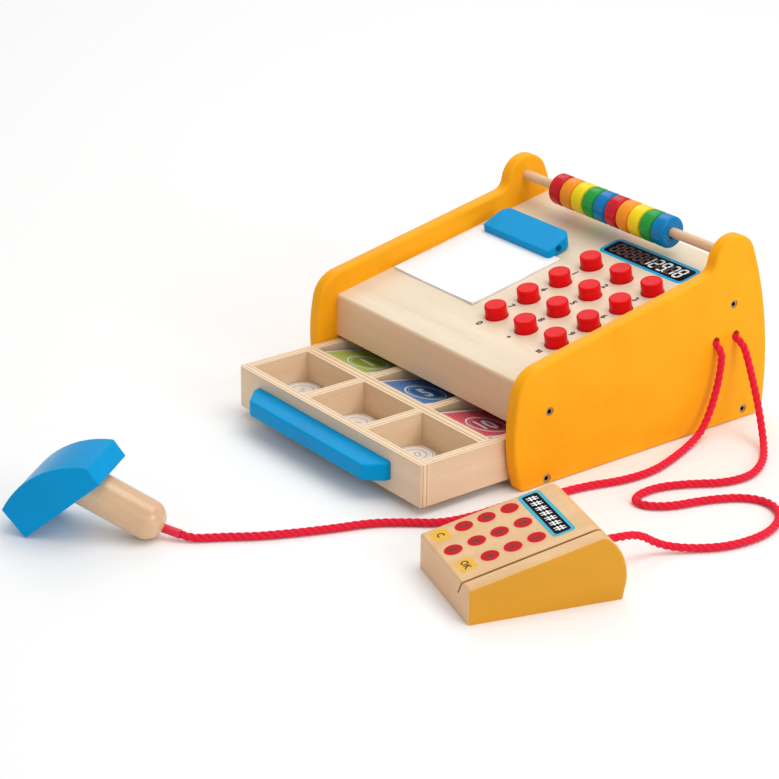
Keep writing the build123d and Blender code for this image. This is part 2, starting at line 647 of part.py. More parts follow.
def scanner_grip():
    """Round-ended turned grip with a tenon, trimmed to the underside of the head."""
    along, _, up, down = scanner_axes()
    root, end = grip_points()
    shaft_length = (end - root).length
    axis = Plane(origin=root, z_dir=down)
    shaft = Pos(0, 0, shaft_length / 2 - 5) * Cylinder(GRIP_R, shaft_length + 10)
    rim = shaft.edges().filter_by(GeomType.CIRCLE).sort_by(Axis.Z)[-1]
    grip = axis * fillet(rim, GRIP_END_R)
    under = Plane(origin=root, x_dir=along, z_dir=up)
    grip -= under * Pos(0, 0, 20) * Box(80, 80, 40)
    grip += axis * Pos(0, 0, (TENON_IN_GRIP - TENON_LENGTH) / 2 - TENON_GAP) * Cylinder(
        TENON_R, TENON_LENGTH + 2 * TENON_GAP)
    grip -= sleeve_bar()
    return grip


def sleeve_bar():
    """Bar along the sleeve's axis, from inside the grip to the sleeve's outer end."""
    outer, towards_cord = cord_sleeve_axis()
    length = SLEEVE_LENGTH + SLEEVE_IN_GRIP
    start = outer - towards_cord * length
    return Plane(origin=start, z_dir=towards_cord) * Pos(0, 0, length / 2) * Cylinder(SLEEVE_R, length)


# ---- card reader ---------------------------------------------------------------------
def reader_frame():
    """Plane of the reader: local Y runs to its back, local X to its right side."""
    return Plane(origin=(*READER_CENTRE, 0),
                 x_dir=(math.cos(math.radians(READER_YAW)), math.sin(math.radians(READER_YAW)), 0),
                 z_dir=(0, 0, 1))


def reader_body():
    """Wedge with a rounded back, a slanting card slot and a blind bore for its cord."""
    half = READER_HALF_LENGTH
    front_top = (-half, READER_FRONT_Z)
    heel = (READER_HEEL_Y, 0)
    edges = [Line((-half, 0), front_top), Line(front_top, READER_CREST),
             ThreePointArc(READER_CREST, *READER_BACK), Line(READER_BACK[1], heel),
             Line(heel, (-half, 0))]
    face = make_face(Curve() + edges)
    crest = face.vertices().sort_by_distance(Vector(*READER_CREST, 0))[0]
    face = fillet(crest, READER_CREST_R)
    body = yz_prism(face, -READER_HALF_WIDTH, READER_HALF_WIDTH)
    body = fillet(body.edges().filter_by(lambda e: e.center().Z > 0.5), READER_EDGE_R)
    slope = math.degrees(math.atan2(READER_CREST[1] - READER_FRONT_Z, READER_CREST[0] + half))
    middle_z = READER_FRONT_Z + half * math.tan(math.radians(slope))
    slot = Pos(READER_HALF_WIDTH - KERF_FROM_SIDE, 0, middle_z) * Rot(slope, 0, 0) * Rot(
        0, KERF_TILT, 0) * Box(KERF_W, 4 * half, 2 * KERF_DEPTH)
    body -= slot
    frame = reader_frame()
    end = frame.to_local_coords(Vector(*READER_CORD[-1]))
    mouth = Pos(end.X, end.Y + READER_BORE_DEPTH / 2, end.Z) * Rot(90, 0, 0) * Cylinder(
        READER_BORE_R, READER_BORE_DEPTH)
    return frame * (body - mouth)


# ---- cords ---------------------------------------------------------------------------
def bend_radii(points):
    """One radius per corner: 0.45 of the shorter run over the tangent of half the turn."""
    radii = []
    for a, b, c in zip(points, points[1:], points[2:]):
        before = Vector(*b) - Vector(*a)
        after = Vector(*c) - Vector(*b)
        shorter = min(before.length, after.length)
        half_turn = math.radians(before.get_angle(after)) / 2
        radii.append(0.45 * shorter / math.tan(half_turn))
    return radii


def cord(name, points):
    """Round tube along straight runs joined by tangent arcs."""
    radii = bend_radii(points)
    path = FilletPolyline(*points, radius=radii)
    start = Plane(origin=path @ 0, z_dir=path % 0)
    tube = sweep(start * Circle(CORD_R), path=path)
    expected = math.pi * CORD_R ** 2 * path.length
    print(name, "length", round(path.length, 1), "volume ratio", round(tube.volume / expected, 4))
    print("  radii", [round(r) for r in radii])
    return tube


def cord_knots():
    """Stopper knots behind the right panel, as rounded plugs against the board."""
    knots = []
    for y, z in CORD_HOLES:
        plug = Cylinder(KNOT_R, KNOT_LENGTH)
        plug = fillet(plug.edges().filter_by(GeomType.CIRCLE), KNOT_EDGE_R)
        knots.append(Pos(INNER_X - KNOT_LENGTH / 2, y, z) * Rot(0, 90, 0) * plug)
    return Compound(children=knots)


# ---- all parts -----------------------------------------------------------------------
def build_parts():
    """Name of every node and its solid or group of solids."""
    screws = [side_screw(*place) for side in (-1, 1) for place in screw_places(side)]
    rod_half = INNER_X + ROD_SOCKET
    parts = {
        "side_panel_left": side_panel(-1),
        "side_panel_right": side_panel(1),
        "front_rail": front_rail(),
        "top_panel": top_panel(),
        "back_panel": back_panel(),
        "base_panel": base_panel(),
        "rear_rail": rear_rail(),
        "side_screws": Compound(children=screws),
        "key_board": key_board(),
        "board_standoffs": board_standoffs(),
        "key_springs": key_springs(),
        "abacus_rod": x_rod(-rod_half, rod_half, *ROD_AT, ROD_R),
        "paper_pad": paper_pad(),
        "paper_clip": clip_block(),
        "clip_pin": clip_pin(),
        "clip_brackets": clip_brackets(),
        "clip_spring": clip_spring(),
        "cord_knots": cord_knots(),
        "cord_scanner": cord("cord_scanner", SCANNER_CORD),
        "cord_reader": cord("cord_reader", READER_CORD),
        "drawer_handle": drawer_handle(),
        "handle_screws": handle_screws(),
        "coins": coins(),
        "play_notes": play_notes(),
        "scanner_head": scanner_head(),
        "scanner_grip": scanner_grip(),
        "cord_sleeve": sleeve_bar(),
        "reader_body": reader_body(),
    }
    parts.update(drawer_walls())
    parts.update(drawer_dividers())
    for index, (x, s) in enumerate(key_places(), start=1):
        parts[f"key_{index}"] = key(x, s)
    for index in range(BEAD_COUNT):
        parts[f"bead_{index + 1}"] = bead(index)
    return parts


os.makedirs("parts", exist_ok=True)
for node, shape in build_parts().items():
    export_step(shape, f"parts/{node}.step")
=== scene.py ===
"""Looks of the wooden toy cash register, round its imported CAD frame, in metres."""

import math
import random

import bmesh
import bpy
from mathutils import Matrix, Vector


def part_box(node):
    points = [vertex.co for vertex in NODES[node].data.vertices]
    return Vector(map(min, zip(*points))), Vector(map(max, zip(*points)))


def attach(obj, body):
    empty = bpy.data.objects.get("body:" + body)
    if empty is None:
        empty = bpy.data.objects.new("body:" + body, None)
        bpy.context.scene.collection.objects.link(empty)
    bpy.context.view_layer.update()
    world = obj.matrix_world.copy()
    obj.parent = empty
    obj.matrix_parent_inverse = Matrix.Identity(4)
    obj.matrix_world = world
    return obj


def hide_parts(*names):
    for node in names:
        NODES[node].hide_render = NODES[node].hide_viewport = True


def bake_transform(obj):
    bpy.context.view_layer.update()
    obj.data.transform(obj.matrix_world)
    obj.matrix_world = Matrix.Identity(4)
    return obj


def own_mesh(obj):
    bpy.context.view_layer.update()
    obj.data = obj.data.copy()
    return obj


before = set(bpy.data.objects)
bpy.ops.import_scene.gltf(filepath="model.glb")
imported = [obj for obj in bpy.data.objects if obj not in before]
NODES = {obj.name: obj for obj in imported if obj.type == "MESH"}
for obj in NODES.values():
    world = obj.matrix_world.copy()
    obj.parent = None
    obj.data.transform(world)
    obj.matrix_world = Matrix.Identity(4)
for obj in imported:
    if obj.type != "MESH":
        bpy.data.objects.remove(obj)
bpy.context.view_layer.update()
MM = 0.001

# ---- camera ----------------------------------------------------------------------------
CAMERA_AT = (1.3171, -1.1674, 0.7695)
CAMERA_AXES = ((0.61022, 0.79215, 0.01074), (-0.32196, 0.23558, 0.91698),
               (0.72386, -0.56302, 0.39880))
LENS_MM = 112.83


def add_camera():
    """A long lens from the front right, a little above, as the scene's camera."""
    data = bpy.data.cameras.new("camera")
    data.sensor_width = 36.0
    data.lens = LENS_MM
    camera = bpy.data.objects.new("camera", data)
    turn = Matrix(CAMERA_AXES).transposed().to_4x4()
    camera.matrix_world = Matrix.Translation(CAMERA_AT) @ turn
    bpy.context.scene.collection.objects.link(camera)
    bpy.context.scene.camera = camera


add_camera()

# ---- small helpers ---------------------------------------------------------------------


def link(name, mesh):
    """A new object of that mesh in the scene."""
    obj = bpy.data.objects.new(name, mesh)
    bpy.context.scene.collection.objects.link(obj)
    return obj


def mesh_object(name, verts, faces, smooth=True):
    """A mesh object from lists of vertices and faces."""
    mesh = bpy.data.meshes.new(name)
    mesh.from_pydata([tuple(v) for v in verts], [], faces)
    mesh.validate()
    for polygon in mesh.polygons:
        polygon.use_smooth = smooth
    return link(name, mesh)


# ---- cords -----------------------------------------------------------------------------
F = 3.05                 # a cord's middle when it lies on the floor, in mm
SCANNER_ROUTE = (
    (113.5, 70.9, 71.6), (131.5, 71.2, 71.0), (132.5, 70.0, 50.0), (133.5, 63.5, 27.0),
    (136.0, 51.5, 8.0), (141.0, 34.0, F), (151.0, 8.0, F), (159.0, -20.0, F),
    (157.5, -50.0, F), (148.5, -76.0, F), (145.0, -106.0, F), (137.5, -140.0, F),
    (138.5, -172.0, F), (133.0, -199.0, F), (117.0, -218.0, F), (103.5, -238.0, F),
    (95.0, -264.0, F), (85.0, -289.0, F), (73.0, -314.5, F), (62.0, -330.5, F),
    (55.3, -342.0, F), (49.0, -352.3, F), (42.6, -357.0, 4.9))
READER_ROUTE = (
    (113.5, 91.5, 72.4), (131.5, 91.8, 71.8), (142.0, 91.0, 53.0), (157.0, 87.0, 29.0),
    (170.0, 81.0, 9.0), (182.0, 71.0, F), (196.0, 55.0, F), (207.5, 32.0, F), (204.0, 7.0, F),
    (190.0, -14.0, F), (181.0, -35.0, F), (180.5, -53.0, F), (186.0, -66.0, F),
    (198.5, -65.0, F), (209.5, -50.0, F), (215.0, -28.0, F), (223.0, -9.0, F),
    (231.5, 3.0, F), (243.5, 9.8, F), (257.0, 7.9, F), (269.0, -2.5, F), (277.0, -17.0, F),
    (281.0, -35.0, F), (278.5, -62.0, F), (265.0, -86.0, F), (253.0, -104.0, 6.5),
    (250.0, -121.0, 19.0), (248.6, -143.9, 22.0), (242.45, -163.75, 22.0))


def route_line(name, route):
    """Points along the NURBS spline whose control points are the route."""
    curve = bpy.data.curves.new(name, "CURVE")
    curve.dimensions = "3D"
    curve.resolution_u = 24
    spline = curve.splines.new("NURBS")
    spline.points.add(len(route) - 1)
    for point, place in zip(spline.points, route):
        point.co = (*(value * MM for value in place), 1.0)
    spline.order_u = 3
    spline.use_endpoint_u = True
    obj = link(name, curve)
    bpy.context.view_layer.update()
    line = bpy.data.meshes.new_from_object(obj)
    points = [vertex.co.copy() for vertex in line.vertices]
    bpy.data.objects.remove(obj)
    bpy.data.curves.remove(curve)
    bpy.data.meshes.remove(line)
    return points


def even_line(points, step):
    """The same line with points an even step apart, its ends kept."""
    total = sum((b - a).length for a, b in zip(points, points[1:]))
    count = round(total / step)
    step = total / count
    line, travelled, target = [points[0]], 0.0, step
    for a, b in zip(points, points[1:]):
        run = (b - a).length
        while len(line) < count and travelled + run >= target:
            line.append(a.lerp(b, (target - travelled) / run))
            target += step
        travelled += run
    return line[:count] + [points[-1]], total


def carried_frames(line):
    """Two crosswise unit vectors at each point, carried along without twist."""
    frames = []
    ahead = (line[1] - line[0]).normalized()
    side = ahead.orthogonal().normalized()
    for before, after in zip([line[0]] + line[:-1], line[1:] + [line[-1]]):
        new = (after - before).normalized()
        side = (side - new * side.dot(new)).normalized()
        frames.append((side, new.cross(side)))
    return frames


STRANDS = 3
STRAND_SIDES = 10
STRAND_STEP = 0.0011     # between a strand's rings, along the cord
LAY_PITCH = 0.0165       # one turn of a strand round the cord
STRAND_ORBIT = 0.00142   # strand centre from the cord's centre
STRAND_R = 0.00158


def braided_cord(name, route):
    """Soft strands laid round the route's line, as one mesh; also its line and length."""
    points = route_line(name + "_line", route)
    line, length = even_line(points, STRAND_STEP)
    frames = carried_frames(line)
    around = STRAND_SIDES
    verts, faces = [], []
    for strand in range(STRANDS):
        centres = []
        for i, (centre, (side, up)) in enumerate(zip(line, frames)):
            angle = math.tau * (i * length / (len(line) - 1) / LAY_PITCH + strand / STRANDS)
            centres.append(centre + (side * math.cos(angle) + up * math.sin(angle)) * STRAND_ORBIT)
        base = len(verts)
        for centre, (side, up) in zip(centres, carried_frames(centres)):
            for k in range(around):
                turn = math.tau * k / around
                verts.append(centre + (side * math.cos(turn) + up * math.sin(turn)) * STRAND_R)
        for i in range(len(centres) - 1):
            for k in range(around):
                a, b = base + i * around + k, base + i * around + (k + 1) % around
                faces.append((a, b, b + around, a + around))
        first = [base + k for k in range(around)]
        last = [base + (len(centres) - 1) * around + k for k in range(around)]
        faces += [tuple(reversed(first)), tuple(last)]
    return mesh_object(name, verts, faces), line, length


def add_cord(name, node, route):
    """A free cord from the case to a piece that lifts on its own joint."""
    obj, line, length = braided_cord(name, route)
    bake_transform(obj)
    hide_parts(node)
    return obj


SCANNER_CORD = add_cord(
    "scanner_cord", "cord_scanner", SCANNER_ROUTE)
READER_CORD = add_cord(
    "reader_cord", "cord_reader", READER_ROUTE)

# ---- surfaces that pieces and prints are placed on -------------------------------------
SLOPE = math.radians(11.19)                 # of the top, which rises to the back
TOP_FRONT = Vector((0.0, -0.1078, 0.076))   # middle of the top's front edge
SLOPE_UP = Vector((0.0, math.cos(SLOPE), math.sin(SLOPE)))
SLOPE_OUT = Vector((0.0, -math.sin(SLOPE), math.cos(SLOPE)))
ACROSS = Vector((1.0, 0.0, 0.0))

READER_YAW = math.radians(-17.2)
READER_CENTRE = Vector((0.2288, -0.2080, 0.0))
READER_RIGHT = Vector((math.cos(READER_YAW), math.sin(READER_YAW), 0.0))
READER_BACK = Vector((-math.sin(READER_YAW), math.cos(READER_YAW), 0.0))
READER_FRONT_TOP = READER_CENTRE - READER_BACK * 0.0557 + Vector((0.0, 0.0, 0.0253))
READER_RISE = math.atan2(0.0484 - 0.0253, 0.0404 + 0.0557)
READER_UP = READER_BACK * math.cos(READER_RISE) + Vector((0.0, 0.0, math.sin(READER_RISE)))
READER_OUT = READER_RIGHT.cross(READER_UP)

CELL_X = (-0.0722, 0.0, 0.0722)             # middles of the drawer's rear cells
NOTE_HALF = 0.0275                          # half of a note's width
# (y, z) of a note's front edge, middle and back edge
NOTE_ARC = ((-0.1324, 0.0380), (-0.0800, 0.0270), (-0.0300, 0.0143))
NOTE_RING = (3.0, 21.5)   # ring's centre from the note's middle line and its front edge, in mm


def plane_place(origin, right, up, out):
    """A function that puts (x, y) in millimetres, lifted by n, on a plane."""
    return lambda x, y, n=0.0: origin + (right * x + up * y + out * n) * MM


on_slope = plane_place(TOP_FRONT, ACROSS, SLOPE_UP, SLOPE_OUT)
on_reader = plane_place(READER_FRONT_TOP, READER_RIGHT, READER_UP, READER_OUT)


def arc_through(a, b, c):
    """Centre and radius of the circle through three points of a plane."""
    (ax, ay), (bx, by), (cx, cy) = a, b, c
    d = 2 * (ax * (by - cy) + bx * (cy - ay) + cx * (ay - by))
    a2, b2, c2 = ax * ax + ay * ay, bx * bx + by * by, cx * cx + cy * cy
    x = (a2 * (by - cy) + b2 * (cy - ay) + c2 * (ay - by)) / d
    y = (a2 * (cx - bx) + b2 * (ax - cx) + c2 * (bx - ax)) / d
    return (x, y), math.dist((x, y), a)


NOTE_CENTRE, NOTE_BEND = arc_through(*NOTE_ARC)
NOTE_START = math.atan2(NOTE_ARC[0][1] - NOTE_CENTRE[1], NOTE_ARC[0][0] - NOTE_CENTRE[0])


def on_note(cell_x):
    """A function that puts (across, along from the front edge) in mm on a note's arch."""
    def place(u, v, n=0.0):
        angle = NOTE_START - v * MM / NOTE_BEND
        radius = NOTE_BEND + n * MM
        return Vector((cell_x + u * MM, NOTE_CENTRE[0] + radius * math.cos(angle),
                       NOTE_CENTRE[1] + radius * math.sin(angle)))
    return place


# ---- materials -------------------------------------------------------------------------


class Look:
    """A Principled material, with short ways to add nodes that read rest-frame coordinates."""

    def __init__(self, name, roughness=0.5, **sockets):
        self.material = bpy.data.materials.new(name)
        self.material.use_nodes = True
        self.nodes = self.material.node_tree.nodes
        self.shader = self.nodes["Principled BSDF"]
        self.coordinates = self.nodes.new("ShaderNodeTexCoord")
        self.shader.inputs["Roughness"].default_value = roughness
        for key, value in sockets.items():
            self.shader.inputs[key.replace("_", " ")].default_value = value

    def feed(self, socket, value):
        """Link a node's output to a socket, or set the socket."""
        if isinstance(value, bpy.types.NodeSocket):
            self.material.node_tree.links.new(value, socket)
        else:
            socket.default_value = value

    def add(self, kind, inputs, **settings):
        """A new node with its settings and inputs."""
        node = self.nodes.new("ShaderNode" + kind)
        for key, value in settings.items():
            setattr(node, key, value)
        for key, value in inputs.items():
            self.feed(node.inputs[key], value)
        return node

    def math(self, operation, a, b=0.0, clamp=False):
        """The result of a Math node."""
        return self.add("Math", {0: a, 1: b}, operation=operation, use_clamp=clamp).outputs[0]

    def place(self):
        """Rest-frame coordinates."""
        return self.coordinates.outputs["Object"]

    def facing(self, direction):
        """Cosine between the surface and a direction of the rest frame."""
        return self.add("VectorMath", {0: self.coordinates.outputs["Normal"], 1: direction},
                        operation="DOT_PRODUCT").outputs["Value"]

    def along(self, direction, origin=(0.0, 0.0, 0.0)):
        """Metres from an origin along a direction."""
        away = self.add("VectorMath", {0: self.place(), 1: origin}, operation="SUBTRACT").outputs[0]
        return self.add("VectorMath", {0: away, 1: direction},
                        operation="DOT_PRODUCT").outputs["Value"]

    def turned(self, axes):
        """Coordinates along three directions."""
        parts = [self.along(axis) for axis in axes]
        return self.add("CombineXYZ", dict(enumerate(parts))).outputs[0]

    def noise(self, scale, detail=3.0, roughness=0.5, place=None):
        """Noise with its own scale, per metre, on each axis."""
        place = place or self.place()
        scaled = self.add("VectorMath", {0: place, 1: scale}, operation="MULTIPLY").outputs[0]
        return self.add("TexNoise", {"Vector": scaled, "Scale": 1.0, "Detail": detail,
                                     "Roughness": roughness}).outputs["Fac"]

    def span(self, value, low, high, start=0.0, end=1.0):
        """A value mapped from low..high to start..end, kept inside."""
        return self.add("MapRange", {0: value, 1: low, 2: high, 3: start, 4: end}).outputs[0]

    def mix(self, factor, a, b):
        """A colour between two."""
        return self.add("Mix", {0: factor, 6: a, 7: b}, data_type="RGBA").outputs[2]

    def set(self, key, value):
        """Give the shader's own socket a value."""
        self.feed(self.shader.inputs[key], value)

    def bump(self, height, distance, strength, normal=None):
        """Bump, over a rounded normal where one is given."""
        node = self.add("Bump", {"Height": height, "Distance": distance, "Strength": strength})
        if normal is not None:
            self.feed(node.inputs["Normal"], normal)
        self.set("Normal", node.outputs[0])

    def rounding(self, radius):
        """The normal as if edges were rounded, and a mask of those edges."""
        soft = self.add("Bevel", {"Radius": radius}, samples=6).outputs[0]
        hard = self.add("NewGeometry", {}).outputs["Normal"]
        same = self.add("VectorMath", {0: soft, 1: hard}, operation="DOT_PRODUCT").outputs["Value"]
        return soft, self.span(same, 0.995, 0.86)


def shade(colour, factor):
    """A colour made lighter or darker."""
    return tuple(min(1.0, value * factor) for value in colour[:3]) + (1.0,)


def paint_look(name, colour, grain=(9.0, 55.0, 55.0), edge=1.5, round_r=0.0007,
               roughness=(0.24, 0.34), coat=0.02):
    """Paint on wood: slight clouding, faint grain under it, and a painted highlight that lightens
    its rounded edges.
    """
    look = Look(name, Specular_IOR_Level=0.06, Coat_Weight=coat, Coat_Roughness=0.07)
    cloud = look.noise((26.0, 26.0, 26.0), detail=2.0)
    fibre = look.noise(tuple(value * 9 for value in grain), detail=4.0, roughness=0.6)
    base = look.mix(look.span(cloud, 0.3, 0.7), shade(colour, 0.94), shade(colour, 1.05))
    base = look.mix(look.span(fibre, 0.55, 0.8, 0.0, 0.16), base, shade(colour, 0.80))
    soft, edges = look.rounding(round_r)
    # painted highlight: the rounded edges are lightened by the edge factor
    edge_highlight = tuple(min(1.0, value * edge + 0.02) for value in colour[:3]) + (1.0,)
    look.set("Base Color", look.mix(look.math("MULTIPLY", edges, 0.35), base, edge_highlight))
    look.set("Roughness", look.span(cloud, 0.25, 0.75, *roughness))
    peel = look.noise((420.0, 420.0, 420.0), detail=1.0)
    height = look.math("ADD", look.math("MULTIPLY", fibre, 0.7), look.math("MULTIPLY", peel, 0.3))
    look.bump(height, 0.00012, 0.25, soft)
    return look.material


AXES = ((1.0, 0.0, 0.0), (0.0, 1.0, 0.0), (0.0, 0.0, 1.0))


def wood_base(look, pale, dark, axes, fleck=0.5):
    """Beech or birch grain along the first axis: broad bands, fibres and short dark flecks."""
    place = look.turned(axes)
    bands = look.noise((5.0, 48.0, 48.0), detail=3.0, roughness=0.55, place=place)
    fibre = look.noise((34.0, 1100.0, 1100.0), detail=3.0, roughness=0.6, place=place)
    flecks = look.noise((420.0, 2300.0, 2300.0), detail=1.0, place=place)
    base = look.mix(look.span(bands, 0.34, 0.68), pale, dark)
    base = look.mix(look.span(fibre, 0.42, 0.75, 0.0, 0.38), base, shade(dark, 0.86))
    flecks = look.span(flecks, 0.66, 0.74, 0.0, fleck)
    return look.mix(flecks, base, shade(dark, 0.62)), fibre, bands


def wood_look(name, pale, dark, axes=AXES, roughness=(0.40, 0.52), coat=0.0, fleck=0.5,
              round_r=0.0004, front=None, ply=None):
    """Sanded or lacquered wood; front paints shade on faces towards the user, ply draws a board's
    layers.
    """
    look = Look(name, Coat_Weight=coat, Coat_Roughness=0.12)
    base, fibre, bands = wood_base(look, pale, dark, axes, fleck)
    if front:
        # painted shade: faces towards the user take the darker front colour
        base = look.mix(look.span(look.facing((0.0, -1.0, 0.0)), 0.35, 0.85), base,
                        look.mix(look.span(bands, 0.3, 0.7), front, shade(front, 0.86)))
    if ply:
        axis, low, high = ply
        direction = AXES[axis]
        depth = look.span(look.math("ABSOLUTE", look.along(direction)), low, high)
        ramp = look.add("ValToRGB", {0: depth})
        for place, colour in ((0.0, shade(pale, 1.04)), (0.20, pale), (0.27, GLUE), (0.34, dark),
                              (0.44, shade(pale, 1.05)), (0.58, shade(pale, 1.05)), (0.68, dark),
                              (0.75, GLUE), (0.82, pale), (1.0, shade(pale, 1.04))):
            stop = (ramp.color_ramp.elements[0] if place == 0.0 else ramp.color_ramp.elements[-1]
                    if place == 1.0 else ramp.color_ramp.elements.new(place))
            stop.position, stop.color = place, colour
        edge_on = look.span(look.math("ABSOLUTE", look.facing(direction)), 0.72, 0.5)
        layers = look.mix(look.span(fibre, 0.3, 0.8, 0.0, 0.22), ramp.outputs[0], shade(dark, 0.8))
        base = look.mix(edge_on, base, layers)
    soft, edges = look.rounding(round_r)
    # painted highlight: rounded edges lightened towards a paler wood
    look.set("Base Color", look.mix(look.math("MULTIPLY", edges, 0.3), base, shade(pale, 1.12)))
    look.set("Roughness", look.span(fibre, 0.3, 0.7, *roughness))
    look.bump(fibre, 0.00010, 0.30, soft)
    return look.material


def steel_look(name, tone=0.62, tint=(1.0, 0.95, 0.82), socket_shade_x=None):
    """Plated steel; a given |x| paints near-black shade on what lies nearer the middle than it, as
    in the screws' hex sockets.
    """
    look = Look(name, Metallic=1.0)
    cloud = look.noise((900.0, 900.0, 900.0), detail=3.0)
    plate = tuple(tone * value for value in tint)
    base = look.mix(look.span(cloud, 0.3, 0.7), shade(plate, 0.85), shade(plate, 1.12))
    if socket_shade_x:
        depth = look.math("ABSOLUTE", look.along((1.0, 0.0, 0.0)))
        inside = look.span(depth, socket_shade_x + 0.0002, socket_shade_x - 0.0003)
        # painted shade: near black inside the sockets
        base = look.mix(inside, base, (0.018, 0.014, 0.01, 1))
    look.set("Base Color", base)
    look.set("Roughness", look.span(cloud, 0.25, 0.75, 0.28, 0.46))
    look.bump(look.noise((2600.0, 2600.0, 2600.0), detail=1.0), 0.00004, 0.3)
    return look.material


def ink_look(name, colour, roughness=0.42, worn=0.06, specular=0.3):
    """A printed area: even ink with slight mottling and a fine grain."""
    look = Look(name, Specular_IOR_Level=specular)
    mottle = look.noise((240.0, 240.0, 240.0), detail=4.0, roughness=0.65)
    look.set("Base Color", look.mix(look.span(mottle, 0.35, 0.7), shade(colour, 1.0 - worn),
                                    tuple(value + worn * 0.4 for value in colour[:3]) + (1.0,)))
    look.set("Roughness", look.span(mottle, 0.3, 0.7, roughness - 0.06, roughness + 0.08))
    look.bump(look.noise((1500.0, 1500.0, 1500.0), detail=2.0), 0.00003, 0.2)
    return look.material


def paper_look(name, colour):
    """Uncoated paper: faint fibres and tone."""
    look = Look(name)
    fibres = look.noise((700.0, 900.0, 700.0), detail=5.0, roughness=0.7)
    look.set("Base Color", look.mix(look.span(fibres, 0.35, 0.65), shade(colour, 0.975), colour))
    look.set("Roughness", look.span(fibres, 0.3, 0.7, 0.72, 0.86))
    look.bump(fibres, 0.00004, 0.25)
    return look.material


def cord_look(name, colour):
    """Soft braided yarn: fine filaments, darker in the lay, with a slight sheen."""
    look = Look(name, roughness=0.70, Specular_IOR_Level=0.2, Sheen_Weight=0.12,
                Sheen_Roughness=0.4)
    yarn = look.noise((1900.0, 1900.0, 1900.0), detail=4.0, roughness=0.7)
    tone = look.noise((160.0, 160.0, 160.0), detail=2.0)
    base = look.mix(look.span(yarn, 0.3, 0.72), shade(colour, 0.62), shade(colour, 1.12))
    look.set("Base Color", look.mix(look.span(tone, 0.3, 0.7, 0.0, 0.25), base, shade(colour, 0.8)))
    look.bump(yarn, 0.00025, 0.6)
    return look.material


def note_look(name, cell_x, colour):
    """Printed play note: white margin, crossing fine lines, and a ringed field for its number."""
    look = Look(name)
    x = look.math("SUBTRACT", look.along((1.0, 0.0, 0.0)), cell_x)
    y = look.math("SUBTRACT", look.along((0.0, 1.0, 0.0)), NOTE_ARC[0][0])
    waves = []
    for turn in (0.9, -0.9):
        swing = look.math("MULTIPLY", look.math("SINE", look.math("MULTIPLY", y, 520.0)), turn)
        phase = look.math("ADD", look.math("MULTIPLY", x, 1900.0 * turn), swing)
        phase = look.math("ADD", phase, look.math("MULTIPLY", y, 1500.0))
        waves.append(look.span(look.math("SINE", phase), 0.45, 0.95, 0.0, 0.42))
    paper, grey = (0.90, 0.91, 0.90, 1), (0.62, 0.69, 0.72, 1)
    pale, deep = tuple(0.5 * v + 0.32 for v in colour[:3]) + (1.0,), shade(colour, 0.72)
    base = look.mix(look.math("MAXIMUM", *waves), colour, pale)
    away_x = look.math("SUBTRACT", x, NOTE_RING[0] * MM)
    away_y = look.math("SUBTRACT", y, NOTE_RING[1] * MM)
    radius = look.math("POWER", look.math("ADD", look.math("MULTIPLY", away_x, away_x),
                                          look.math("MULTIPLY", away_y, away_y)), 0.5)
    base = look.mix(look.span(radius, 0.0166, 0.0162), base, deep)
    for middle, half, tone in ((0.0154, 0.0007, grey), (0.0128, 0.0003, pale)):
        off = look.math("ABSOLUTE", look.math("SUBTRACT", radius, middle))
        base = look.mix(look.span(off, half + 0.0002, half), base, tone)
    side = look.math("ABSOLUTE", x)
    margin, frame_line = (
        look.math("MAXIMUM", look.span(side, NOTE_HALF - inset - 0.0003, NOTE_HALF - inset),
                  look.span(y, inset + 0.0003, inset)) for inset in (0.0018, 0.0036))
    inner = look.math("SUBTRACT", frame_line, margin, clamp=True)
    base = look.mix(look.math("MULTIPLY", inner, 0.5), base, pale)
    look.set("Base Color", look.mix(margin, base, paper))
    look.set("Roughness", look.span(look.noise((300.0, 300.0, 300.0)), 0.3, 0.7, 0.5, 0.62))
    look.bump(look.noise((1200.0, 1200.0, 1200.0), detail=3.0), 0.00003, 0.2)
    return look.material


COIN_PLACES = ((-0.0890, -0.1588), (-0.0160, -0.1620), (0.0552, -0.1616))
COIN_RING_PITCH = 0.0021
COIN_RING_RADII = (0.0132, 0.0086)


def coin_look(name):
    """Grey board coin: printed rings, a milled border and speckle."""
    look = Look(name)
    nearest = None
    for place in COIN_PLACES:
        away = look.add("VectorMath", {0: look.place(), 1: (*place, 0.0)}, operation="SUBTRACT")
        flat = look.add("VectorMath", {0: away.outputs[0], 1: (1.0, 1.0, 0.0)},
                        operation="MULTIPLY")
        distance = look.add("VectorMath", {0: flat.outputs[0]}, operation="LENGTH").outputs["Value"]
        nearest = look.math("MINIMUM", nearest, distance) if nearest else distance
    speckle = look.noise((1300.0, 1300.0, 1300.0), detail=4.0, roughness=0.7)
    base = look.mix(look.span(speckle, 0.32, 0.7), (0.74, 0.70, 0.65, 1), (0.92, 0.88, 0.83, 1))
    rings = look.math("SINE", look.math("MULTIPLY", nearest, math.tau / COIN_RING_PITCH))
    base = look.mix(look.span(rings, 0.55, 0.95, 0.0, 0.35), base, (0.36, 0.31, 0.26, 1))
    for radius in COIN_RING_RADII:
        off = look.math("ABSOLUTE", look.math("SUBTRACT", nearest, radius))
        base = look.mix(look.span(off, 0.0006, 0.0003, 0.0, 0.7), base, (0.30, 0.26, 0.22, 1))
    side = look.span(look.math("ABSOLUTE", look.facing((0.0, 0.0, 1.0))), 0.8, 0.4)
    base = look.mix(side, base, (0.33, 0.27, 0.20, 1))
    look.set("Base Color", base)
    look.set("Roughness", look.span(speckle, 0.3, 0.7, 0.42, 0.6))
    look.bump(look.math("ADD", rings, speckle), 0.00008, 0.35)
    return look.material


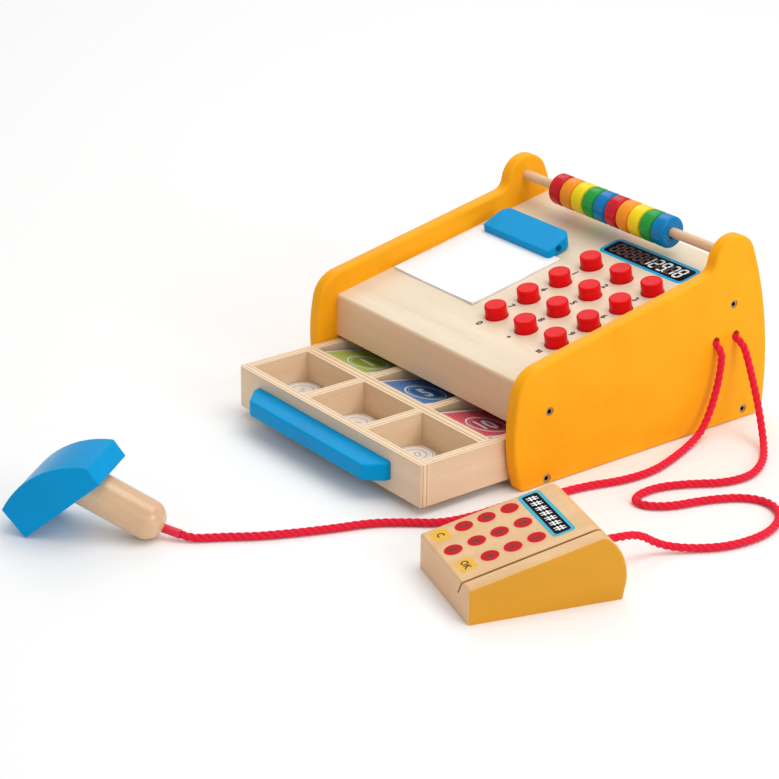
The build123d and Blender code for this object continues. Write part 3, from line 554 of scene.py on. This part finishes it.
YELLOW = (0.98, 0.405, 0.010, 1)
BLUE = (0.0, 0.300, 0.640, 1)
RED = (0.76, 0.006, 0.008, 1)
PALE_WOOD = (0.86, 0.720, 0.530, 1)
BEECH = (0.86, 0.675, 0.470, 1)
BEECH_DARK = (0.77, 0.555, 0.355, 1)
GLUE = (0.46, 0.27, 0.13, 1)
BEAD_PAINTS = (("red", (0.62, 0.010, 0.020, 1)), ("orange", (0.93, 0.300, 0.012, 1)),
               ("yellow", (0.92, 0.690, 0.010, 1)), ("green", (0.020, 0.330, 0.045, 1)),
               ("blue", (0.0, 0.200, 0.500, 1)))
RED_YARN = (0.95, 0.010, 0.045, 1)

yellow_paint = paint_look("yellow_paint", YELLOW, grain=(55.0, 9.0, 55.0), round_r=0.0012)
blue_paint = paint_look("blue_paint", BLUE, round_r=0.0012)
red_paint = paint_look("red_key_paint", RED, round_r=0.0006, coat=0.05)
# the front colour is painted shade on faces towards the user, such as the rail's front
top_wood = wood_look("top_wood", PALE_WOOD, shade(PALE_WOOD, 0.90), fleck=0.22,
                     front=(0.84, 0.575, 0.360, 1))
case_wood = wood_look("case_wood", BEECH, BEECH_DARK)
rod_wood = wood_look("rod_wood", (0.86, 0.60, 0.37, 1), (0.70, 0.44, 0.24, 1), coat=0.15)
zinc = steel_look("zinc_steel")
# painted shade: the clip pin's steel is darkened so the holes at its ends look dark
pin_shade_steel = steel_look("pin_steel_painted_shade", tone=0.10)
# the screws' hex sockets get painted shade inside this |x|
screw_zinc = steel_look("screw_steel", tone=0.42, tint=(1.0, 0.74, 0.42), socket_shade_x=0.1238)
white_paper = paper_look("white_paper", (0.92, 0.92, 0.95, 1))
red_yarn = cord_look("red_yarn", RED_YARN)


def ply_board(name, thickness_axis, grain_axis, between=None):
    """Plywood of a board, its grain along one axis and its layers across another."""
    low, high = sorted(abs(corner[thickness_axis]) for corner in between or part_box(name))
    order = [grain_axis] + [axis for axis in range(3) if axis != grain_axis]
    return wood_look(name + "_ply", BEECH, BEECH_DARK, axes=[AXES[axis] for axis in order],
                     ply=(thickness_axis, low, high))


def reader_look():
    """The reader's block: lacquered wood with painted cheeks, and painted shade on its front faces.
    """
    look = Look("reader_wood_and_paint", Specular_IOR_Level=0.3, Coat_Weight=0.1,
                Coat_Roughness=0.15)
    pale, dark = (0.78, 0.500, 0.245, 1), (0.70, 0.410, 0.180, 1)
    base, fibre, bands = wood_base(look, pale, dark, (READER_BACK, READER_RIGHT, AXES[2]), 0.3)
    # painted shade: faces towards the block's front take a darker tan
    front = look.span(look.facing(-READER_BACK), 0.5, 0.9)
    base = look.mix(look.math("MULTIPLY", front, 0.6), base, (0.78, 0.47, 0.27, 1))
    cheek = look.span(look.math("ABSOLUTE", look.facing(READER_RIGHT)), 0.80, 0.84)
    sideways = look.math("ABSOLUTE", look.along(READER_RIGHT, READER_CENTRE))
    cheek = look.math("MULTIPLY", cheek, look.span(sideways, 0.0405, 0.0410))
    paint = look.mix(look.span(bands, 0.3, 0.7), (0.73, 0.325, 0.008, 1), (0.67, 0.298, 0.008, 1))
    look.set("Base Color", look.mix(cheek, base, paint))
    look.set("Roughness", look.span(fibre, 0.3, 0.7, 0.34, 0.46))
    soft, _ = look.rounding(0.0006)
    look.bump(fibre, 0.00008, 0.25, soft)
    return look.material


SCANNER_YAW, SCANNER_PITCH, GRIP_ANGLE = map(math.radians, (37.1, 40.3, 64.4))
SCANNER_AHEAD = Vector((math.cos(SCANNER_YAW), math.sin(SCANNER_YAW), 0.0))
SCANNER_ACROSS = Vector((-math.sin(SCANNER_YAW), math.cos(SCANNER_YAW), 0.0))
GRIP_FALL = GRIP_ANGLE - SCANNER_PITCH
GRIP_DOWN = SCANNER_AHEAD * math.cos(GRIP_FALL) - Vector((0.0, 0.0, math.sin(GRIP_FALL)))
grip_wood = wood_look("grip_wood", (0.82, 0.560, 0.340, 1), (0.66, 0.400, 0.220, 1),
                      axes=(GRIP_DOWN, SCANNER_ACROSS, GRIP_DOWN.cross(SCANNER_ACROSS)), coat=0.45,
                      roughness=(0.24, 0.34), fleck=0.6)
sleeve_plastic = ink_look("sleeve_plastic", (0.74, 0.012, 0.045, 1), roughness=0.3)


def dress(material, *names):
    """Give CAD nodes a material."""
    for name in names:
        for slot in NODES[name].material_slots:
            slot.material = material


dress(yellow_paint, "side_panel_left", "side_panel_right")
dress(blue_paint, "paper_clip", "drawer_handle", "scanner_head")
dress(top_wood, "front_rail", "top_panel")
dress(case_wood, "rear_rail", "board_standoffs", "key_board")
dress(rod_wood, "abacus_rod")
dress(screw_zinc, "side_screws")
dress(zinc, "handle_screws", "clip_brackets", "key_springs", "clip_spring")
dress(pin_shade_steel, "clip_pin")
dress(coin_look("coin_board"), "coins")
dress(grip_wood, "scanner_grip")
dress(sleeve_plastic, "cord_sleeve")
dress(reader_look(), "reader_body")
for board, thickness_axis, grain_axis in (
        ("back_panel", 1, 0), ("base_panel", 2, 0), ("drawer_front", 1, 0), ("drawer_back", 1, 0),
        ("drawer_side_left", 0, 1), ("drawer_side_right", 0, 1), ("drawer_floor", 2, 0),
        ("drawer_long_divider", 1, 0)):
    dress(ply_board(board, thickness_axis, grain_axis), board)
DIVIDER_FACES = ((0.0313, 0, 0), (0.0397, 0, 0))
for board in ("drawer_front_dividers", "drawer_rear_dividers"):
    dress(ply_board(board, 0, 1, between=DIVIDER_FACES), board)
dress(red_paint, *(f"key_{index}" for index in range(1, 13)))
for index, (hue, colour) in enumerate(BEAD_PAINTS):
    bead_paint = paint_look(f"bead_{hue}_paint", colour, edge=1.3, roughness=(0.14, 0.20), coat=0.3)
    dress(bead_paint, f"bead_{index + 1}", f"bead_{index + 6}")
for obj in (SCANNER_CORD, READER_CORD):
    obj.data.materials.append(red_yarn)

# ---- flat shapes in millimetres --------------------------------------------------------


class Shape:
    """Flat faces in (x, y), joined into one mesh when they are placed."""

    def __init__(self):
        self.verts, self.faces = [], []

    def add(self, verts, faces):
        """Join some faces."""
        base = len(self.verts)
        self.verts += verts
        self.faces += [tuple(base + index for index in face) for face in faces]
        return self

    def outline(self, points):
        """One face with that outline."""
        return self.add(points, [range(len(points))])

    def band(self, outer, inner):
        """The area between two outlines with as many points."""
        count = len(outer)
        faces = [(i, (i + 1) % count, count + (i + 1) % count, count + i) for i in range(count)]
        return self.add(list(outer) + list(inner), faces)


def circle(x, y, radius, count=40):
    """Outline of a circle."""
    turns = [math.tau * i / count for i in range(count)]
    return [(x + radius * math.cos(turn), y + radius * math.sin(turn)) for turn in turns]


def round_box(x, y, half_x, half_y, radius, steps=7):
    """Outline of a rectangle with rounded corners."""
    points = []
    for index, (sx, sy) in enumerate(((1, 1), (-1, 1), (-1, -1), (1, -1))):
        for step in range(steps):
            angle = math.pi / 2 * (index + step / (steps - 1))
            points.append((x + sx * (half_x - radius) + radius * math.cos(angle),
                           y + sy * (half_y - radius) + radius * math.sin(angle)))
    return points


def text(words, size, x=0.0, y=0.0, turn=0.0, weight=0.0, squeeze=1.0):
    """Faces of a few characters, centred on (x, y) and turned."""
    curve = bpy.data.curves.new("glyphs", "FONT")
    curve.body, curve.size, curve.offset, curve.resolution_u = words, 1.0, weight, 4
    obj = link("glyphs", curve)
    bpy.context.view_layer.update()
    flat = bpy.data.meshes.new_from_object(obj)
    xs = [vertex.co.x for vertex in flat.vertices]
    ys = [vertex.co.y for vertex in flat.vertices]
    middle = ((min(xs) + max(xs)) / 2, (min(ys) + max(ys)) / 2)
    scale = size / (max(ys) - min(ys))
    cos, sin = math.cos(turn), math.sin(turn)
    verts = []
    for vertex in flat.vertices:
        a = (vertex.co.x - middle[0]) * scale * squeeze
        b = (vertex.co.y - middle[1]) * scale
        verts.append((x + a * cos - b * sin, y + a * sin + b * cos))
    faces = [tuple(polygon.vertices) for polygon in flat.polygons]
    bpy.data.objects.remove(obj)
    bpy.data.curves.remove(curve)
    bpy.data.meshes.remove(flat)
    return verts, faces


def printed(name, shape, place, material, body, slot, lift=0.06, cut=None):
    """A thin print on a surface; cut is the spacing in mm at which faces are split to bend."""
    mesh = bpy.data.meshes.new(name)
    mesh.from_pydata([(x, y, 0.0) for x, y in shape.verts], [], shape.faces)
    work = bmesh.new()
    work.from_mesh(mesh)
    if cut:
        ys = [vertex.co.y for vertex in work.verts]
        for step in range(math.ceil(min(ys) / cut), math.floor(max(ys) / cut) + 1):
            bmesh.ops.bisect_plane(work, geom=work.verts[:] + work.edges[:] + work.faces[:],
                                   plane_co=(0, step * cut, 0), plane_no=(0, 1, 0))
    for vertex in work.verts:
        vertex.co = place(vertex.co.x, vertex.co.y, lift)
    bmesh.ops.recalc_face_normals(work, faces=work.faces)
    out = place(0, 0, 1.0) - place(0, 0, 0.0)
    if sum(face.normal.dot(out) for face in work.faces) < 0:
        bmesh.ops.reverse_faces(work, faces=work.faces)
    work.to_mesh(mesh)
    work.free()
    mesh.materials.append(material)
    obj = link(name, mesh)
    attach(obj, body)
    return obj


# Lit bars of a seven-segment digit, in the order top, top left, top right, middle,
# bottom left, bottom right, bottom.
SEGMENTS = {"0": "1110111", "1": "0010010", "2": "1011101", "7": "1010010", "8": "1111111",
            "9": "1111011"}


def segment_digit(shape, bars, x, y, width, height, bar, slant):
    """Add a digit's bars to a shape, as hexagons with small gaps."""
    half_w, half_h = width / 2, height / 2
    middles = ((0, half_h, 0), (-half_w, half_h / 2, 1), (half_w, half_h / 2, 1), (0, 0, 0),
               (-half_w, -half_h / 2, 1), (half_w, -half_h / 2, 1), (0, -half_h, 0))
    for lit, (mx, my, upright) in zip(bars, middles):
        if lit == "0":
            continue
        reach = (half_h if upright else width) / 2 - 0.12
        tip = bar / 2
        points = [(-reach, 0), (-reach + tip, tip), (reach - tip, tip), (reach, 0),
                  (reach - tip, -tip), (-reach + tip, -tip)]
        if upright:
            points = [(-b, a) for a, b in points]
        shape.outline([(x + mx + a + slant * (my + b), y + my + b) for a, b in points])


# ---- prints on the sloped top ----------------------------------------------------------
KEY_X = (15.1, 49.3, 83.5)
KEY_S = (152.55, 120.3, 88.05, 55.8)
LABEL_DROP = 15.4         # from a key's middle to its number, towards the user
LABEL_LEFT = 2.0          # and to the left
LABELS = ("123", "456", "789", "0.=")
LABEL_SIZES = {".": 2.9, "=": 3.6}
DIGIT_SIZE = 6.2
DISPLAY_DIGITS = "888812978"
UNLIT_DIGITS = 4          # the first ones, which show only as faint bars

black_ink = ink_look("black_ink", (0.018, 0.016, 0.018, 1), worn=0.02)
blue_ink = ink_look("display_blue_ink", (0.0, 0.39, 0.72, 1), specular=0.2)
display_black = ink_look("display_black_ink", (0.005, 0.004, 0.006, 1), worn=0.005, specular=0.03)
white_ink = ink_look("white_ink", (0.98, 0.97, 0.97, 1), worn=0.03)
faint_ink = ink_look("unlit_segment_ink", (0.13, 0.070, 0.070, 1))


def add_key_labels():
    """Small black numbers in front of the keys."""
    shape = Shape()
    for s, row in zip(KEY_S, LABELS):
        for x, label in zip(KEY_X, row):
            shape.add(*text(label, LABEL_SIZES.get(label, DIGIT_SIZE), x - LABEL_LEFT,
                            s - LABEL_DROP, weight=0.05))
    printed("key_numbers", shape, on_slope, black_ink, "case", "natural_wood")


def add_display():
    """The printed display behind the keys."""
    x, s, half_x, half_s = 45.0, 185.6, 46.8, 12.5
    inside = round_box(x, s, half_x - 3.1, half_s - 3.1, 3.2)
    border = Shape().band(round_box(x, s, half_x, half_s, 6.0), inside)
    printed("display_border", border, on_slope, blue_ink, "case", "natural_wood")
    field = Shape().outline(inside)
    printed("display_field", field, on_slope, display_black, "case", "natural_wood")
    lit, unlit = Shape(), Shape()
    pitch, width, height, bar, slant = 8.75, 5.5, 12.4, 1.9, 0.12
    for index, digit in enumerate(DISPLAY_DIGITS):
        centre = x + (index - 4) * pitch - 0.6
        bars = SEGMENTS[digit]
        if index < UNLIT_DIGITS:
            segment_digit(unlit, bars, centre, s, width, height, bar, slant)
        else:
            rest = "".join("1" if value == "0" else "0" for value in bars)
            segment_digit(lit, bars, centre, s, width, height, bar, slant)
            segment_digit(unlit, rest, centre, s, width, height, bar, slant)
    lit.outline(circle(x + 2.5 * pitch - 1.0, s - height / 2, 0.85, 12))
    printed("display_digits", lit, on_slope, white_ink, "case", "natural_wood", lift=0.10)
    printed("display_unlit_bars", unlit, on_slope, faint_ink, "case", "natural_wood", lift=0.10)


add_key_labels()
add_display()

# ---- prints on the card reader ---------------------------------------------------------
READER_COLUMNS = (-32.0, -9.2, 13.6)
READER_ROWS = (61.8, 44.6, 27.8, 10.6)
READER_LABELS = ("123", "456", "789", "C0K")   # K is the key that reads OK


def add_reader_prints():
    """Keypad and display of the card reader."""
    discs, rims, squares, marks = Shape(), Shape(), Shape(), Shape()
    for t, row in zip(READER_ROWS, READER_LABELS):
        for x, label in zip(READER_COLUMNS, row):
            if label in "CK":
                squares.outline(round_box(x, t, 7.4, 6.0, 1.6))
                marks.add(*text("OK" if label == "K" else label, 5.4, x, t, weight=0.03))
            else:
                discs.outline(circle(x, t, 6.3))
                rims.band(circle(x, t, 6.9), circle(x, t, 6.3))
                marks.add(*text(label, 6.2, x, t, weight=0.03))
    red_ink = ink_look("reader_red_ink", (0.56, 0.006, 0.008, 1), worn=0.01, specular=0.06)
    rim_ink = ink_look("reader_rim_ink", (0.84, 0.30, 0.19, 1))
    yellow_ink = ink_look("reader_yellow_ink", (0.86, 0.45, 0.010, 1))
    dark_ink = ink_look("reader_dark_ink", (0.050, 0.010, 0.008, 1), worn=0.01)
    body, slot = "card_reader", "natural_wood"
    printed("reader_discs", discs, on_reader, red_ink, body, slot)
    printed("reader_disc_rims", rims, on_reader, rim_ink, body, slot)
    printed("reader_squares", squares, on_reader, yellow_ink, body, slot)
    printed("reader_marks", marks, on_reader, dark_ink, body, slot, lift=0.10)

    x, t, half_x, half_t = -9.7, 79.2, 31.6, 8.5
    inside = round_box(x, t, half_x - 2.6, half_t - 2.6, 2.0)
    border = Shape().band(round_box(x, t, half_x, half_t, 3.6), inside)
    printed("reader_display_border", border, on_reader,
            ink_look("reader_cyan_ink", (0.02, 0.42, 0.56, 1)), body, slot)
    field = Shape().outline(inside)
    printed("reader_display_field", field, on_reader, display_black, body, slot)
    crosses = Shape()
    for index in range(7):
        crosses.add(*text("#", 7.8, x + (index - 3) * 7.7, t, weight=0.012, squeeze=0.88))
    printed("reader_display_marks", crosses, on_reader, white_ink, body, slot, lift=0.10)


add_reader_prints()

# ---- play notes, paper, coins ----------------------------------------------------------
NOTE_T = 0.0005


def sheet_faces(across, count, base=0):
    """Faces of a sheet from two grids of vertices, its upper side's first, and its rim."""
    row, sheet = across + 1, (count + 1) * (across + 1)
    faces = []
    for i in range(count):
        for k in range(across):
            a = base + i * row + k
            faces.append((a, a + 1, a + row + 1, a + row))
            faces.append(tuple(sheet + v for v in (a, a + row, a + row + 1, a + 1)))
    rim = (list(range(across)) + [i * row + across for i in range(count)]
           + [count * row + across - k for k in range(across)]
           + [(count - i) * row for i in range(count)])
    rim = [base + v for v in rim]
    return faces + [(a, sheet + a, sheet + b, b) for a, b in zip(rim, rim[1:] + rim[:1])]


def add_note(name, cell_x, number, colour):
    """A printed note arched in its cell, with a large ringed number near its front."""
    place = on_note(cell_x)
    end = math.atan2(NOTE_ARC[2][1] - NOTE_CENTRE[1], NOTE_ARC[2][0] - NOTE_CENTRE[0])
    length = (NOTE_START - end) * NOTE_BEND / MM
    across, count = 12, 60
    verts = []
    for half in (NOTE_T / 2 / MM, -NOTE_T / 2 / MM):
        for i in range(count + 1):
            for k in range(across + 1):
                u = (2 * k / across - 1) * NOTE_HALF / MM
                curl = 0.5 * (u * MM / NOTE_HALF) ** 2 * math.sin(math.pi * i / count)
                verts.append(place(u, length * i / count, half + curl))
    note = mesh_object(name, verts, sheet_faces(across, count))
    note.data.materials.append(note_look(name + "_print", cell_x, colour))
    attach(note, "drawer")
    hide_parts("play_notes")
    digits = Shape().add(*text(number, 17.0, NOTE_RING[0], NOTE_RING[1], turn=math.pi / 2,
                               weight=0.03, squeeze=0.86))
    printed(name + "_number", digits, place, note_ink, "drawer", "paper",
            lift=NOTE_T / 2 / MM + 0.12, cut=3.0)


note_ink = ink_look("note_number_ink", (0.58, 0.64, 0.67, 1), roughness=0.55)
add_note("note_one", CELL_X[0], "1", (0.34, 0.43, 0.02, 1))
add_note("note_five", CELL_X[1], "5", (0.020, 0.14, 0.42, 1))
add_note("note_ten", CELL_X[2], "10", (0.64, 0.020, 0.060, 1))


def add_paper():
    """A thin pad of loose sheets under the clip, their front corners lifted a little."""
    chance = random.Random(7)
    sheets, thickness, gap = 4, 0.26, 0.03
    x0, x1, s0, s1 = -110.0, -12.0, 54.9, 145.5
    across, count = 14, 24
    verts, faces = [], []
    for index in range(sheets):
        bottom = 0.02 + index * (thickness + gap)
        shift = (chance.uniform(-0.5, 0.3), chance.uniform(0.0, 0.8))
        base = len(verts)
        for level in (thickness, 0.0):
            for i in range(count + 1):
                for k in range(across + 1):
                    a, b = k / across, i / count
                    x = x0 + 0.5 + (x1 - x0 - 1.0) * a + shift[0]
                    s = s0 + (s1 - s0 - 1.0) * b + shift[1]
                    free = max(0.0, 1 - b * 2.4) ** 2
                    curl = (index + 1) * 0.14 * free * (0.35 + abs(2 * a - 1) ** 3)
                    verts.append(on_slope(x, s, bottom + level + curl))
        faces += sheet_faces(across, count, base)
    pad = mesh_object("paper_sheets", verts, faces, smooth=False)
    pad.data.materials.append(white_paper)
    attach(pad, "case")
    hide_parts("paper_pad")


add_paper()


def add_coin_numbers():
    """A small raised number in the middle of each coin."""
    ink = ink_look("coin_number_ink", (0.52, 0.48, 0.43, 1), roughness=0.5)
    shape = Shape()
    for (x, y), number, turn in zip(COIN_PLACES, ("5", "1", "10"), (0.6, 2.2, 1.1)):
        shape.add(*text(number, 8.0, x / MM, y / MM, turn=turn))
    on_coins = plane_place(Vector((0, 0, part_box("coins")[1].z)), *map(Vector, AXES))
    printed("coin_numbers", shape, on_coins, ink, "drawer", "coin_grey")


add_coin_numbers()

# ---- springs and knots -----------------------------------------------------------------


def tube(points, radius, around=8, closed=False):
    """Vertices and faces of a round tube along points."""
    frames = carried_frames(points)
    verts, faces = [], []
    for centre, (side, up) in zip(points, frames):
        verts += [centre + (side * math.cos(math.tau * k / around)
                            + up * math.sin(math.tau * k / around)) * radius for k in range(around)]
    count = len(points)
    for i in range(count if closed else count - 1):
        j = (i + 1) % count
        for k in range(around):
            m = (k + 1) % around
            faces.append((i * around + k, i * around + m, j * around + m, j * around + k))
    if not closed:
        faces += [tuple(reversed(range(around))),
                  tuple((count - 1) * around + k for k in range(around))]
    return verts, faces


def coil(foot, axis, height, radius, wire, turns):
    """Points of a spring's wire, its end turns closed flat."""
    side = axis.orthogonal().normalized()
    other = axis.cross(side)
    steps = 20 * turns
    points = []
    for i in range(steps + 1):
        share = i / steps
        rise = min(1.0, max(0.0, (share * turns - 0.75) / (turns - 1.5)))
        angle = math.tau * share * turns
        points.append(foot + axis * (wire + rise * (height - 2 * wire))
                      + (side * math.cos(angle) + other * math.sin(angle)) * radius)
    return points


def add_spring(name, node, foot, height, radius, wire, turns):
    """A wire coil spring, as a mesh of its own on the case."""
    spring = mesh_object(name, *tube(coil(foot, SLOPE_OUT, height, radius, wire, turns), wire))
    spring.data.materials.append(zinc)
    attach(spring, "case")
    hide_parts(node)
    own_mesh(spring)


BOARD_DROP, SPRING_HEIGHT, KEY_TRAVEL = 21.0, 10.3, 3.0
for number in range(12):
    add_spring(f"key_spring_{number + 1}", "key_springs",
               on_slope(KEY_X[number % 3], KEY_S[number // 3], -BOARD_DROP),
               height=SPRING_HEIGHT * MM, radius=0.0043, wire=0.0005, turns=6)
add_spring("clip_coil_spring", "clip_spring", on_slope(-59.7, 158.0, 0.0),
           height=0.0072, radius=0.0024, wire=0.00035, turns=5)


KNOT_STEPS = 72
KNOT_LOOP = 0.00138       # size of a trefoil's loops
KNOT_DEPTH = 0.0026       # half of its depth along x, and its strand's radius


def add_knots():
    """A tight overhand knot behind the right panel on each cord."""
    low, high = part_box("cord_knots")
    middle_x, middle_z, half = (low.x + high.x) / 2, (low.z + high.z) / 2, (high.z - low.z) / 2
    verts, faces = [], []
    for y in (low.y + half, high.y - half):
        points = []
        for i in range(KNOT_STEPS):
            t = math.tau * i / KNOT_STEPS
            points.append(Vector((middle_x + KNOT_DEPTH * math.sin(3 * t),
                                  y + KNOT_LOOP * (math.sin(t) + 2 * math.sin(2 * t)),
                                  middle_z + KNOT_LOOP * (math.cos(t) - 2 * math.cos(2 * t)))))
        more, quads = tube(points, KNOT_DEPTH, around=10, closed=True)
        faces += [tuple(len(verts) + index for index in face) for face in quads]
        verts += more
    knots = mesh_object("cord_stopper_knots", verts, faces)
    knots.data.materials.append(red_yarn)
    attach(knots, "case")
    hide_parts("cord_knots")


add_knots()

# ---- floor and light -------------------------------------------------------------------


def add_floor():
    """A plain pale floor."""
    half = 6.0
    corners = [(-half, -half), (half, -half), (half, half), (-half, half)]
    floor = mesh_object("floor", [(x, y, 0.0) for x, y in corners], [(0, 1, 2, 3)], smooth=False)
    material = bpy.data.materials.new("floor")
    material.use_nodes = True
    shader = material.node_tree.nodes["Principled BSDF"]
    shader.inputs["Base Color"].default_value = (0.93, 0.93, 0.93, 1)
    shader.inputs["Roughness"].default_value = 0.75
    floor.data.materials.append(material)


def add_area(name, place, target, size, power, colour=(1, 1, 1)):
    """A soft square light that faces its target."""
    data = bpy.data.lights.new(name, "AREA")
    data.size = size
    data.energy = power
    data.color = colour
    light = bpy.data.objects.new(name, data)
    light.location = place
    light.rotation_euler = (Vector(target) - Vector(place)).to_track_quat("-Z", "Y").to_euler()
    bpy.context.scene.collection.objects.link(light)


def add_lights():
    """White surroundings, a broad light overhead, one from the right and one on the backdrop."""
    world = bpy.data.worlds.new("world")
    world.use_nodes = True
    background = world.node_tree.nodes["Background"]
    background.inputs["Color"].default_value = (1.0, 1.0, 1.0, 1)
    background.inputs["Strength"].default_value = 0.60
    bpy.context.scene.world = world
    middle = (0.05, -0.1, 0.05)
    add_area("overhead", (0.5, 0.35, 2.2), middle, 1.7, 24.0, (1.0, 0.99, 0.97))
    add_area("side", (2.4, 0.1, 1.1), middle, 1.1, 15.0)
    add_area("backdrop", (-1.7, 1.1, 1.9), (-1.3, 0.8, 0.0), 1.5, 12.0)


add_floor()
add_lights()
bpy.context.scene.view_settings.view_transform = "Standard"
